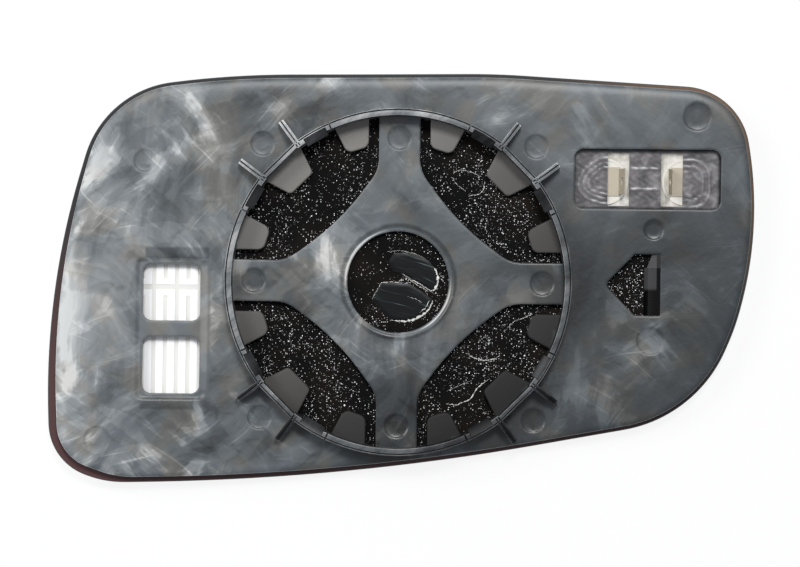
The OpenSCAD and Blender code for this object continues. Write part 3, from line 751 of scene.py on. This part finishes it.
def heater_layer(name, colour):
    """A layer of the heater: clean behind the windows, and mottled with old glue under the terminals."""
    material, tree, shader = new_material(name)
    coordinates = coordinates_of(tree)
    place = add(tree, "ShaderNodeSeparateXYZ", {0: coordinates})
    mottle = noise_of(tree, coordinates, 420, 4)
    stained = ramp(tree, mottle, [(0.3, "#a6a197"), (0.5, "#cbc7be"), (0.7, "#e2dfd8")])
    by_terminals = spread(tree, place.outputs["X"], 30 * MM, 35 * MM)
    paint_with(tree, shader, blend(tree, by_terminals, srgb(colour), stained), 0.5)
    return material


# Silvered front of the mirror
mirror_front = plain("mirror_silver", "#dfe4e6", 0.03, metallic=1.0)
# Ground edge of the glass
ground_edge = plain("glass_ground_edge", "#3c4041", 0.4)
# Paint on the back of the glass
paint = back_paint()
# Black adhesive pad with pale specks
pad_material = speckled_pad()
# Blisters in the pad, where its liner film came off smooth
blister_material = streaky_film()
# The whitish colour of a blister's crinkled edge is a painted highlight
crease_highlight_material = plain("pad_blister_edge_highlight", "#d9d8d2", 0.3)
# Milky polyester film of the heater
film_material = heater_layer("heater_film_milky", "#e4e3de")
# Etched foil of the heater
foil_material = heater_layer("heater_foil_bright", "#ffffff")
# Smoky cover film in the connector recess
cover_material = smoky_film()
# Tinned discs
disc_material = plain("tinned_foil", "#dcd9d0", 0.4, metallic=0.1)
# Tin plating on the brass terminals
terminal_material = plain("tinned_brass", "#b5ab99", 0.4, metallic=0.15)
print("materials:", len(bpy.data.materials))

# %% [markdown]
# ## The glass
#
# A curved sheet with its back edge ground to a small bevel.

# %% Mirror glass

glass_loop = densify(rounded([c[:3] for c in GLASS_CORNERS]), 1.5)
BEVEL = 0.2


def make_glass():
    along = np.roll(glass_loop, -1, axis=0) - np.roll(glass_loop, 1, axis=0)
    along /= np.linalg.norm(along, axis=1)[:, None]
    inward = np.stack([-along[:, 1], along[:, 0]], 1)
    inner = glass_loop + inward * BEVEL
    points = grid(inner, 6, [inner], 3)
    flat, triangles = triangulate(inner, [], points)
    n = len(flat)
    back = np.column_stack([flat, dome(flat[:, 0], flat[:, 1], GLASS_BACK)])
    front_low = np.column_stack([flat, dome(flat[:, 0], flat[:, 1], MIRROR_FACE)])
    m = len(glass_loop)
    edge_z = dome(glass_loop[:, 0], glass_loop[:, 1], GLASS_BACK)
    edge_low = dome(glass_loop[:, 0], glass_loop[:, 1], MIRROR_FACE)
    upper = np.column_stack([glass_loop, edge_z - 0.2])
    lower = np.column_stack([glass_loop, edge_low + 0.2])
    vertices = np.concatenate([back, front_low, upper, lower])
    u, w = 2 * n, 2 * n + m
    faces = [tuple(t) for t in triangles]
    groups = [0] * len(faces)
    faces += [tuple(t[::-1] + n) for t in triangles]
    groups += [1] * len(triangles)
    for i in range(m):
        j = (i + 1) % m
        faces += [(i, u + i, u + j, j), (u + i, w + i, w + j, u + j), (w + i, n + i, n + j, w + j)]
        groups += [2, 2, 2]
    obj = new_mesh("mirror_glass_body", vertices, faces, [paint, mirror_front, ground_edge], 30)
    for polygon, group in zip(obj.data.polygons, groups):
        polygon.material_index = group
    return obj


glass = make_glass()
print("mirror glass:", len(glass.data.polygons), "faces")

# %% [markdown]
# ## The carrier plate
#
# Its outer edge is broadly rounded and the edges of its openings only a little. The hub is dished
# towards its hole, and the ejector marks are shallow discs.

# %% Carrier plate

plate_loop = densify(plate_outline(), 1.2)
plate_holes = [densify(turned(opening, q)[::-1], 1.0) for q in range(4)]
plate_holes.append(circle(0, 0, HUB_HOLE_R, 120)[::-1])
plate_holes += [densify(w[::-1], 1.0) for w in windows()]
plate_holes.append(densify(box_outline(RECESS_X, RECESS_Y, RECESS_W, RECESS_H, RECESS_ROUND)[::-1], 1.0))
plate_holes.append(densify(latch_outline()[::-1], 0.8))
all_loops = [plate_loop, *plate_holes]

frame_middle = WINDOW_Y - (WINDOW_H + WINDOW_BAR) / 2
frame_box = (WINDOW_W + 2 * FRAME_W, 2 * WINDOW_H + WINDOW_BAR + 2 * FRAME_W)
frame_loop = densify(box_outline(WINDOW_X, frame_middle, *frame_box, WINDOW_ROUND), 1.0)
# How far the edges are rounded, inwards and down: the plate's own edge, and those of its openings
OUTER_W, OUTER_T = 2.6, 0.8
INNER_W, INNER_T = 0.45, 0.35
# The plate sinks a little towards its edge, and the hub towards its hole
EDGE_FALL, EDGE_FALL_W = 0.12, 5.0
HUB_DISH, HUB_DISH_R, HUB_STEP_T = 0.3, 20, 0.3


def plate_points():
    """Rows along the edges and marks, and the grid between them."""
    rows = []
    for offset in (0.05, 0.15, 0.35, 0.7, 1.2, 1.8, 2.4, 3.0):
        rows.append(rows_along(plate_loop, offset, 1.2, all_loops))
    for hole in plate_holes:
        for offset in (0.03, 0.1, 0.2, 0.32, 0.46, 0.8):
            rows.append(rows_along(hole, offset, 0.7, all_loops))
    for offset in (0.0, 0.3, 0.65, 1.0, 1.3):
        rows.append(rows_along(frame_loop, offset, 0.8, [frame_loop]) if offset else densify(frame_loop, 0.8))
    for x, y, r in MARKS:
        for part, n in ((0.5, 10), (0.86, 28), (0.93, 32), (1.0, 32), (1.07, 36), (1.2, 36)):
            rows.append(circle(x, y, r * part, n))
    for r in (HUB_HOLE_R + HUB_STEP_W - 0.1, HUB_HOLE_R + HUB_STEP_W + 0.1, 15, 16.5, 18, 19.5):
        rows.append(circle(0, 0, r, 110))
    special = np.concatenate(rows)
    special = special[inside(special, plate_loop)]
    for hole in plate_holes:
        special = special[~inside(special, hole)]
    special = special[distance(special, all_loops) > 0.028]
    points = grid(plate_loop, 1.9, all_loops, 1.3)
    clear = np.ones(len(points), bool)
    for x, y, r in MARKS:
        clear &= np.hypot(points[:, 0] - x, points[:, 1] - y) > r * 1.35
    return np.concatenate([special, points[clear]])


def plate_top(flat):
    x, y = flat[:, 0], flat[:, 1]
    r = np.hypot(x, y)
    z = dome(x, y, PLATE_BACK)
    z -= shoulder(distance(flat, [plate_loop]), OUTER_W, OUTER_T)
    z -= EDGE_FALL * soft_step(1 - distance(flat, [plate_loop]) / EDGE_FALL_W)
    z -= shoulder(distance(flat, plate_holes), INNER_W, INNER_T)
    step_r = HUB_HOLE_R + HUB_STEP_W
    z -= HUB_DISH * soft_step((HUB_DISH_R - r) / (HUB_DISH_R - step_r))
    z = np.where(r < step_r, z - HUB_STEP_T * soft_step((step_r - r) / 0.15), z)
    in_frame = inside(flat, frame_loop)
    z -= np.where(in_frame, FRAME_T * soft_step(distance(flat, [frame_loop]) / 1.3), 0)
    for mx, my, mr in MARKS:
        d = np.hypot(x - mx, y - my) / mr
        z -= MARK_T * soft_step((1.06 - d) / 0.2)
    return z


def plate_bottom(flat):
    return dome(flat[:, 0], flat[:, 1], PLATE_FRONT)


plate, plate_flat = sheet("carrier_plate_body", plate_loop, plate_holes, plate_points(), plate_top,
                          plate_bottom, [plate_plastic])
radius = np.hypot(plate_flat[:, 0], plate_flat[:, 1])
tooth_part = (radius > TOOTH_R - 1.2) & (radius < RING_R - HOOK_WALL - 0.1)
tooth_part &= np.abs(plate_flat[:, 0]) > SPOKE_W / 2 + 1
tooth_part &= np.abs(plate_flat[:, 1]) > SPOKE_W / 2 + 1


def store(obj, name, values):
    """Keeps a number for each point of a sheet, the same on its top and its bottom."""
    attribute = obj.data.attributes.new(name, "FLOAT", "POINT")
    attribute.data.foreach_set("value", np.concatenate([values, values]).astype(float))


store(plate, "teeth", tooth_part)
# Painted sheen along the plate's rounded outer edge; the ejector marks are darker
sheen_shade_and_marks = 0.07 * np.clip(1 - np.abs(distance(plate_flat, [plate_loop]) - 1.6) / 1.6, 0, 1)
for mx, my, mr in MARKS:
    sheen_shade_and_marks -= 0.05 * (np.hypot(plate_flat[:, 0] - mx, plate_flat[:, 1] - my) < 1.01 * mr)
around, r = np.arctan2(plate_flat[:, 1], plate_flat[:, 0]), radius - HUB_HOLE_R
# Painted shade: a dark line at the hub's step
sheen_shade_and_marks -= 0.26 * np.exp(-((r - HUB_STEP_W - 0.1) / 0.25) ** 2)
# Painted highlights on the hub hole's rim, at the lower right and the upper left
sheen_shade_and_marks += 0.8 * np.exp(-((r - 0.46) / 0.2) ** 2) * np.clip(np.cos(2 * (around + math.radians(35))), 0, 1)
store(plate, "sheen_shade_and_marks", sheen_shade_and_marks)
print("carrier plate:", len(plate.data.polygons), "faces")

# %% [markdown]
# ## The clip ring
#
# Four plain arcs, and on each diagonal two ribs, a bar between them and two snap hooks. One arc, one
# pair of hooks and so on are made, and Geometry Nodes repeat them round the axis.

# %% Geometry Nodes that repeat a piece round the axis


def repeat_tree():
    """Repeats the object's mesh round Z, by a count and from a first angle."""
    tree = bpy.data.node_groups.new("repeat_round_axis", "GeometryNodeTree")
    face = tree.interface
    face.new_socket("Geometry", in_out="INPUT", socket_type="NodeSocketGeometry")
    face.new_socket("Count", in_out="INPUT", socket_type="NodeSocketInt")
    face.new_socket("First Angle", in_out="INPUT", socket_type="NodeSocketFloat")
    face.new_socket("Material", in_out="INPUT", socket_type="NodeSocketMaterial")
    face.new_socket("Geometry", in_out="OUTPUT", socket_type="NodeSocketGeometry")
    given = add(tree, "NodeGroupInput")
    line = add(tree, "GeometryNodeMeshLine", {"Count": given.outputs["Count"], "Offset": (0, 0, 0)})
    index = add(tree, "GeometryNodeInputIndex")
    step = maths(tree, "DIVIDE", math.tau, given.outputs["Count"])
    angle = maths(tree, "MULTIPLY_ADD", index.outputs[0], step, given.outputs["First Angle"])
    turn = add(tree, "ShaderNodeCombineXYZ", {"Z": angle})
    copies = add(tree, "GeometryNodeInstanceOnPoints", {
        "Points": line.outputs["Mesh"], "Instance": given.outputs["Geometry"], "Rotation": turn.outputs[0]})
    real = add(tree, "GeometryNodeRealizeInstances", {"Geometry": copies.outputs[0]})
    painted = add(tree, "GeometryNodeSetMaterial", {
        "Geometry": real.outputs[0], "Material": given.outputs["Material"]})
    out = add(tree, "NodeGroupOutput")
    tree.links.new(painted.outputs[0], out.inputs["Geometry"])
    return tree


repeat_round_axis = repeat_tree()


def repeated(obj, count, first_angle, material):
    """The object with its mesh repeated, as a plain mesh."""
    modifier = obj.modifiers.new("repeat", "NODES")
    modifier.node_group = repeat_round_axis
    sockets = {i.name: i.identifier for i in repeat_round_axis.interface.items_tree if i.in_out == "INPUT"}
    modifier[sockets["Count"]] = count
    modifier[sockets["First Angle"]] = math.radians(first_angle)
    modifier[sockets["Material"]] = material
    depsgraph = bpy.context.evaluated_depsgraph_get()
    mesh = bpy.data.meshes.new_from_object(obj.evaluated_get(depsgraph))
    obj.modifiers.clear()
    old = obj.data
    obj.data = mesh
    mesh.name = old.name + "_all"
    bpy.data.meshes.remove(old)
    return obj


# %% Arcs, hooks, ribs and bars

RING_BASE = 0.0


def ring_profile(inner, groove=True):
    """The wall's section as (radius, height), anticlockwise, with small rounded edges."""
    g, w, t = GROOVE_LIP, GROOVE_W, GROOVE_T
    corners = [(inner, RING_BASE, 0), (RING_R, RING_BASE, 0), (RING_R, RING_H, 0.08)]
    if groove:
        corners += [(RING_R - g, RING_H, 0.05), (RING_R - g, RING_H - t, 0.05),
                    (RING_R - g - w, RING_H - t, 0.05), (RING_R - g - w, RING_H, 0.08)]
    if inner < RING_R - g - w - 0.4:
        corners += [(inner, RING_H, 0.2)]
    else:
        corners += [(inner, RING_H, 0)]
    return rounded(corners)


def arc_solid(profile, start, end, step=1.5):
    """A section turned about the axis between two angles."""
    n = max(1, math.ceil((end - start) / step))
    sections = []
    for i in range(n + 1):
        a = math.radians(start + (end - start) * i / n)
        sections.append([(r * math.cos(a), r * math.sin(a), z) for r, z in profile])
    return solid_from_sections(sections)


def mirrored(part):
    """The part on the other side of the +X axis, with its faces still outwards."""
    vertices, faces = part
    return [(x, -y, z) for x, y, z in vertices], [tuple(reversed(f)) for f in faces]


def turned_part(part, degrees):
    vertices, faces = part
    c, s = math.cos(math.radians(degrees)), math.sin(math.radians(degrees))
    return [(c * x - s * y, s * x + c * y, z) for x, y, z in vertices], faces


def straight_solid(profile, start, end):
    """A section in the XZ plane drawn along Y."""
    return solid_from_sections([[(x, y, z) for x, z in profile] for y in (start, end)])


half_slit = math.degrees(math.asin(SLIT_W / 2 / RING_R))
hook_half = math.degrees(math.asin(HOOK_W / 2 / RING_R)) + 0.3
full = ring_profile(RING_R - RING_WALL)
thin = ring_profile(RING_R - HOOK_WALL)


def mark_groove_shade(obj, outer, low, angle=None):
    """Marks the floor of the groove, where the material paints shade; for a rib's groove, angle is the rib's
    own.
    """
    points = np.array([v.co for v in obj.data.vertices]) / MM
    x, y, z = points[:, 0], np.abs(points[:, 1]), points[:, 2]
    if angle is None:
        across = outer - np.hypot(x, y)
    elif angle == 0:
        across = outer - x
    else:
        a = math.radians(angle)
        across = GROOVE_LIP + GROOVE_W / 2 + y * math.cos(a) - x * math.sin(a)
    floor = (across > GROOVE_LIP - 0.02) & (across < GROOVE_LIP + GROOVE_W + 0.02)
    floor &= (z > low) & (z < RING_H - 0.3)
    attribute = obj.data.attributes.new("groove", "FLOAT", "POINT")
    attribute.data.foreach_set("value", floor.astype(np.float32))


arc_vertices, arc_faces = arc_solid(full, -ARC_HALF, ARC_HALF)
arcs = new_mesh("clip_ring_arcs", arc_vertices, arc_faces, [ring_plastic])
mark_groove_shade(arcs, RING_R, 5)
arcs = repeated(arcs, 4, 0, ring_plastic)

wall = [arc_solid(full, RIB_ANGLE - 0.7, HOOK_ANGLE - hook_half),
        arc_solid(thin, HOOK_ANGLE - hook_half - 0.1, HOOK_ANGLE + hook_half + 0.1),
        arc_solid(full, HOOK_ANGLE + hook_half, 45 - ARC_HALF - 2 * half_slit)]
wall += [mirrored(part) for part in wall]
walls = new_mesh("clip_ring_hook_walls", *join_parts(wall), [ring_plastic])
mark_groove_shade(walls, RING_R, 5)
walls = repeated(walls, 4, 45, ring_plastic)


def hook_part():
    """A hook's nose behind its thin wall, drawn at its place beside the diagonal."""
    at_wall = RING_R - HOOK_WALL
    top = RING_H - HOOK_DROP
    nose = rounded([(at_wall + 0.3, top, 0), (at_wall, top, 0), (at_wall - HOOK_NOSE, top - 0.35 * HOOK_T, 0.2),
                    (at_wall - HOOK_NOSE, top - 0.7 * HOOK_T, 0.2), (at_wall, top - HOOK_T, 0),
                    (at_wall + 0.3, top - HOOK_T, 0)])
    return turned_part(straight_solid(nose, -HOOK_W / 2, HOOK_W / 2), HOOK_ANGLE)


hooks = new_mesh("snap_hooks", *join_parts([hook_part(), mirrored(hook_part())]), [hook_plastic])
hooks = repeated(hooks, 4, 45, hook_plastic)


def rib_part():
    """A radial rib with rounded top edges and a groove along its top."""
    low, half = RING_BASE, RIB_T / 2
    sections = []
    end, end_top = RING_R + RIB_REACH, RING_H - RIB_DROP
    for x, top in ((RING_R - 1.36, RING_H), (RING_R + 1, RING_H), (end - 0.25, end_top + 0.05),
                   (end, end_top - 0.25)):
        g = GROOVE_W / 2
        section = rounded([(half, low, 0), (half, top, 0.25), (g, top, 0.08), (g, top - GROOVE_T, 0.04),
                           (-g, top - GROOVE_T, 0.04), (-g, top, 0.08), (-half, top, 0.25), (-half, low, 0)])
        sections.append([(x, y, z) for y, z in section])
    return turned_part(solid_from_sections(sections), RIB_ANGLE)


def bar_part():
    """The straight bar between two ribs, grooved as the ring is."""
    out = RING_R * math.cos(math.radians(RIB_ANGLE))
    half = RING_R * math.sin(math.radians(RIB_ANGLE)) - GROOVE_W
    g = GROOVE_LIP
    profile = rounded([(out - BAR_T, RING_BASE, 0), (out, RING_BASE, 0), (out, RING_H, 0.08),
                       (out - g, RING_H, 0.05), (out - g, RING_H - GROOVE_T, 0.05),
                       (out - g - GROOVE_W, RING_H - GROOVE_T, 0.05), (out - g - GROOVE_W, RING_H, 0.08),
                       (out - BAR_T, RING_H, 0.2)])
    return straight_solid(profile, -half, half)


ribs = new_mesh("ring_ribs", *join_parts([rib_part(), mirrored(rib_part())]), [rib_plastic])
mark_groove_shade(ribs, RING_R, 3.5, RIB_ANGLE)
ribs = repeated(ribs, 4, 45, rib_plastic)
bars = new_mesh("ring_bars", *bar_part(), [ring_plastic])
mark_groove_shade(bars, RING_R * math.cos(math.radians(RIB_ANGLE)), 5, 0)
bars = repeated(bars, 4, 45, ring_plastic)


def fix_outwards(obj):
    """Turns every closed shell's faces outwards."""
    work = bmesh.new()
    work.from_mesh(obj.data)
    bmesh.ops.recalc_face_normals(work, faces=work.faces)
    work.to_mesh(obj.data)
    work.free()


for obj in (arcs, walls, hooks, ribs, bars):
    fix_outwards(obj)
print("clip ring:", sum(len(o.data.polygons) for o in (arcs, walls, hooks, ribs, bars)), "faces")

# %% [markdown]
# ## The ramp in the latch opening

# %% Latch ramp


def ramp_solid():
    low, high = -LATCH_H / 2 + 0.02, LATCH_H / 2 - RAMP_GAP
    base = float(dome(np.array([LATCH_X]), np.array([0.0]), PLATE_FRONT)[0]) + 0.1
    top = base + 2.3
    left, right = LATCH_X - RAMP_W, LATCH_X + 0.1
    profile = rounded([(left, base, 0), (right, base, 0), (right, top, 0), (right - 0.1, top, 0),
                       (left + 0.9, base + 1.3, 0.3), (left, base + 0.4, 0.1)])
    body = straight_solid(profile, low, high)
    crest = [(right, high, top), (left + 0.6, high, base + 1.2), (left + 1.9, LATCH_H / 2, base + 1.2),
             (right, LATCH_H / 2, top), (right, high, base), (left + 0.6, high, base),
             (left + 1.9, LATCH_H / 2, base), (right, LATCH_H / 2, base)]
    faces = [(0, 3, 2, 1), (4, 5, 6, 7), (0, 1, 5, 4), (1, 2, 6, 5), (2, 3, 7, 6), (3, 0, 4, 7)]
    return join_parts([body, (crest, faces)])


latch_ramp = new_mesh("latch_ramp", *ramp_solid(), [ramp_plastic], 25)
fix_outwards(latch_ramp)
print("latch ramp:", len(latch_ramp.data.polygons), "faces")

# %% [markdown]
# ## The cover film over the contacts
#
# The film is pressed down round the contacts, which leaves rounded ridges in it.

# %% Cover film

cover_grow = COVER_LAP - 0.1
cover_loop = densify(box_outline(RECESS_X, RECESS_Y, RECESS_W + 2 * cover_grow, RECESS_H + 2 * cover_grow,
                                 RECESS_ROUND), 0.6)
cover_holes = [densify(box_outline(TERMINAL_X + side * COVER_SLOT_PITCH / 2, RECESS_Y, COVER_SLOT_W,
                                   COVER_SLOT_H, 0.25)[::-1], 0.4) for side in (-1, 1)]


def ridge(d, width):
    return np.exp(-(d / width) ** 2)


def cover_relief(flat):
    """The embossing: squarish rings at the right, wavy ones at the left, and two bars between."""
    x, y = flat[:, 0], flat[:, 1]
    relief = np.zeros(len(flat))
    dx, dy = np.abs(x - 71.6), np.abs(y - 25.3)
    squarish = (dx**3 + dy**3) ** (1 / 3)
    for r, size in ((5.9, 0.13), (4.3, 0.1), (2.9, 0.05)):
        relief += size * ridge(squarish - r, 0.24) * soft_step((x - 66.5) / 0.8)
    wave = 0.35 * np.sin(3 * np.arctan2(y - 25.6, x - 51.2) + 0.8)
    around = np.hypot((x - 51.2) * 0.95, y - 25.6) + wave
    for r, size in ((5.7, 0.12), (4.4, 0.09), (3.3, 0.09), (2.0, 0.06)):
        relief += size * ridge(around - r, 0.24) * soft_step((56.4 - x) / 0.8)
    between = soft_step((x - 57.6) / 0.6) * soft_step((65.2 - x) / 0.6)
    for line_y in (29.0, 23.9):
        relief += 0.12 * ridge(y - line_y, 0.22) * between
    relief += 0.03 * np.sin(x * 2.1 + np.sin(y * 1.7) * 1.4) * np.sin(y * 2.9 + x * 0.6)
    return relief * soft_step((distance(flat, [cover_loop]) - cover_grow) / 0.8)


def cover_top(flat):
    return dome(flat[:, 0], flat[:, 1], PLATE_FRONT) + cover_relief(flat)


def cover_bottom(flat):
    return dome(flat[:, 0], flat[:, 1], PLATE_FRONT - COVER_T) + cover_relief(flat)


cover, cover_flat = sheet("cover_film_embossed", cover_loop, cover_holes,
                          grid(cover_loop, 0.3, [cover_loop, *cover_holes], 0.15), cover_top, cover_bottom,
                          [cover_material])
# Painted highlight on the embossed ridges, and painted shade within 0.8 mm of the plate's edge
under_edge = np.clip(1 - (distance(cover_flat, [cover_loop]) - cover_grow) / 0.8, 0, 1)
store(cover, "raised", np.clip(cover_relief(cover_flat) / 0.13, 0, 1) - 3.0 * under_edge ** 1.5)
print("cover film:", len(cover.data.polygons), "faces")

# %% [markdown]
# ## Blisters in the pad
#
# The pad's liner left two smooth blisters in the hub, and crinkled edges in five places, whose whitish colour is
# a painted highlight.

# %% Blisters


BLISTER_RISE = 0.09


def blister(name, loop):
    """A low swelling over an outline."""
    def top(flat):
        d = distance(flat, [loop])
        return dome(flat[:, 0], flat[:, 1], PLATE_FRONT) + 0.02 + BLISTER_RISE * soft_step(d / 0.7)

    def bottom(flat):
        return dome(flat[:, 0], flat[:, 1], PLATE_FRONT) - 0.1

    loop = densify(loop, 0.4)
    obj, _ = sheet(name, loop, [], grid(loop, 0.45, [loop], 0.2), top, bottom, [blister_material])
    return obj


def crease(line, thickness, seed):
    """A crinkled bead along a line."""
    rng = random.Random(seed)
    points = [np.array(line[0], float)]
    for a, b in zip(line, line[1:]):
        a, b = np.array(a, float), np.array(b, float)
        n = max(1, math.ceil(np.linalg.norm(b - a) / 0.3))
        points += [a + (b - a) * i / n for i in range(1, n + 1)]
    sections = []
    for i, p in enumerate(points):
        along = points[min(i + 1, len(points) - 1)] - points[max(i - 1, 0)]
        along = along / max(np.linalg.norm(along), 1e-9)
        normal = np.array([-along[1], along[0]])
        taper = math.sin(math.pi * (i + 0.5) / len(points)) ** 0.5
        r = thickness * taper * rng.choice((0.15, 0.4, 0.7, 0.9, 1.0))
        p = p + normal * rng.uniform(-0.1, 0.1)
        z = float(dome(p[:1], p[1:], PLATE_FRONT)[0]) + 0.1
        sections.append([(p[0] + normal[0] * r * math.cos(a), p[1] + normal[1] * r * math.cos(a),
                          z + 0.8 * r * math.sin(a)) for a in [math.tau * j / 6 for j in range(6)]])
    return solid_from_sections(sections)


# The outline of each blister, then the lines of its crinkled edge and their thickness; where the
# outline is empty, only the lines show
BLISTERS = {
    "hub_right": ([(-1.2, 7.2), (-2.4, 5.1), (-1.6, 3.0), (1.1, 2.0), (5.1, -0.3), (9.5, -2.6), (10.2, 0.9),
                   (9.3, 3.4), (7.6, 5.5), (3.0, 7.4)],
                  [([(9.2, 3.6), (9.9, 1.8), (10.0, -0.2), (9.2, -1.8), (8.2, -2.2)], 0.42),
                   ([(0.8, 2.2), (3.0, 0.9), (5.6, -0.5), (8.9, -2.6)], 0.12),
                   ([(1.6, 1.4), (5.0, -0.8), (7.6, -2.3)], 0.08),
                   ([(-3.2, 7.6), (0.6, 7.9), (4.0, 7.2), (7.0, 5.8)], 0.06)]),
    "hub_low": ([(-4.1, -0.1), (-5.8, -2.4), (-6.4, -4.5), (-3.9, -7.4), (-1.6, -9.5), (1.8, -10.0), (5.1, -9.1),
                 (7.6, -7.4), (8.8, -4.5), (5.9, -2.2), (2.6, -0.3)],
                [([(8.8, -4.6), (8.0, -6.6), (6.4, -8.2), (4.2, -9.4), (1.6, -9.9), (-1.6, -9.6)], 0.36),
                 ([(7.9, -4.6), (7.0, -6.4), (5.6, -7.6)], 0.12),
                 ([(-6.5, -4.4), (-5.2, -2.0), (-4.1, -0.2), (-1.4, 0.0), (2.2, -0.3), (3.4, 0.2)], 0.1),
                 ([(2.4, -3.6), (4.4, -4.2), (6.2, -5.2)], 0.07)]),
    "upper_right": ([],
                    [([(21.4, 25.6), (21.3, 23.6), (20.2, 22.2), (17.4, 21.8)], 0.16),
                     ([(13.4, 27.2), (14.6, 28.2), (17.6, 28.0), (20.4, 26.6)], 0.08),
                     ([(13.2, 26.4), (14.6, 24.4), (16.8, 23.0)], 0.07)]),
    "lower_right": ([],
                    [([(17.2, -17.6), (19.4, -18.9), (21.8, -19.4), (24.4, -19.0), (25.8, -18.0)], 0.15),
                     ([(26.9, -11.9), (28.4, -10.2), (29.8, -9.1)], 0.1),
                     ([(29.8, -9.2), (31.8, -8.6), (33.8, -7.5)], 0.13)]),
    "lowest_right": ([],
                     [([(12.4, -30.3), (15.0, -30.7), (18.4, -29.2), (20.2, -26.3), (23.2, -23.8)], 0.17),
                      ([(12.6, -27.2), (15.6, -25.8), (18.7, -24.4)], 0.07)]),
}
blisters, edges = [], []
for i, (name, (corners, lines)) in enumerate(BLISTERS.items()):
    if corners:
        blisters.append(blister("blister_" + name, rounded([(x, y, 0.7) for x, y in corners])))
    edges += [crease(line, thickness, 10 * i + j) for j, (line, thickness) in enumerate(lines)]
creases = new_mesh("blister_edges", *join_parts(edges), [crease_highlight_material])
fix_outwards(creases)
print("blisters:", len(blisters))

# %% [markdown]
# ## What the CAD nodes show themselves
#
# The pad, the heater's film and foil, the contact discs and the terminals keep their CAD shapes.

# %% Materials on CAD nodes


def dress(node, material):
    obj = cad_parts[node]
    obj.data.materials.clear()
    obj.data.materials.append(material)


dress("adhesive_pad", pad_material)
dress("heater_film", film_material)
dress("heater_foil", foil_material)
for side in ("left", "right"):
    dress("contact_disc_" + side, disc_material)
    dress("terminal_" + side, terminal_material)
print("dressed nodes: 7")

# %% [markdown]
# ## Where each piece rides; the CAD nodes that the pieces stand for are hidden

# %% Pieces

carrier_pieces = [plate, arcs, walls, hooks, ribs, bars, latch_ramp]
for piece in carrier_pieces:
    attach(piece, "root")
    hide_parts("carrier_plate")
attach(glass, "root")
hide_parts("mirror_glass")
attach(cover, "root")
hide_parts("cover_film")
for piece in [*blisters, creases]:
    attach(piece, "root")
print("pieces:", len(carrier_pieces) + 2 + len(blisters) + 1)

# %% [markdown]
# ## Stage, light and camera
#
# The photo is taken from straight above, with the object turned a little clockwise in it.

# %% Stage

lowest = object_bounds()[0][2]


def pale_floor():
    """A white floor that shows as plain white and still takes a little of the object's shadow."""
    material, tree, shader = new_material("stage_floor")
    shader.inputs["Base Color"].default_value = srgb("#f4f4f4")
    shader.inputs["Roughness"].default_value = 0.9
    rays = add(tree, "ShaderNodeLightPath")
    seen = maths(tree, "ADD", rays.outputs["Is Camera Ray"], rays.outputs["Is Glossy Ray"])
    seen = maths(tree, "ADD", seen, rays.outputs["Is Transmission Ray"], clamp=True)
    share = maths(tree, "MULTIPLY", seen, 0.85)
    glow = add(tree, "ShaderNodeEmission", {"Color": (1, 1, 1, 1), "Strength": 1.0})
    mixed = add(tree, "ShaderNodeMixShader", {0: share, 1: shader.outputs[0], 2: glow.outputs[0]})
    tree.links.new(mixed.outputs[0], tree.nodes["Material Output"].inputs["Surface"])
    return material


floor_size = 3000
floor = new_mesh("floor", [(-floor_size, -floor_size, 0), (floor_size, -floor_size, 0),
                           (floor_size, floor_size, 0), (-floor_size, floor_size, 0)],
                 [(0, 1, 2, 3)], [pale_floor()])
for vertex in floor.data.vertices:
    vertex.co.z = lowest

# %% Light and camera


def area_light(name, place, power, size):
    """A square lamp at a place in millimetres that faces the object."""
    lamp = bpy.data.lights.new(name, "AREA")
    lamp.energy, lamp.size = power, size * MM
    obj = bpy.data.objects.new(name, lamp)
    bpy.context.collection.objects.link(obj)
    obj.location = Vector(place) * MM
    obj.rotation_euler = (-obj.location).to_track_quat("-Z", "Y").to_euler()
    return obj


area_light("key_above", (60, 430, 930), 5.6, 220)
area_light("fill_upper_left", (-560, 320, 620), 3.9, 420)

world = bpy.data.worlds.new("studio")
bpy.context.scene.world = world
world.use_nodes = True
background = world.node_tree.nodes["Background"]
background.inputs["Color"].default_value = (0.9, 0.93, 1.0, 1)
background.inputs["Strength"].default_value = 0.38

VIEW_WIDTH = 200.0
CAMERA_AWAY = 620.0
TURN = math.radians(0.7)
camera_data = bpy.data.cameras.new("camera")
camera_data.sensor_width = 36
camera_data.lens = 36 * CAMERA_AWAY / VIEW_WIDTH
camera_data.clip_end = 20
camera = bpy.data.objects.new("camera", camera_data)
bpy.context.collection.objects.link(camera)
aim = (0.5 * math.cos(TURN) + 0.375 * math.sin(TURN), 0.5 * math.sin(TURN) - 0.375 * math.cos(TURN))
camera.location = (aim[0] * MM, aim[1] * MM, CAMERA_AWAY * MM)
camera.rotation_euler = (0, 0, TURN)
bpy.context.scene.camera = camera
bpy.context.scene.view_settings.view_transform = "Standard"
print("camera above the hub at", CAMERA_AWAY, "mm")
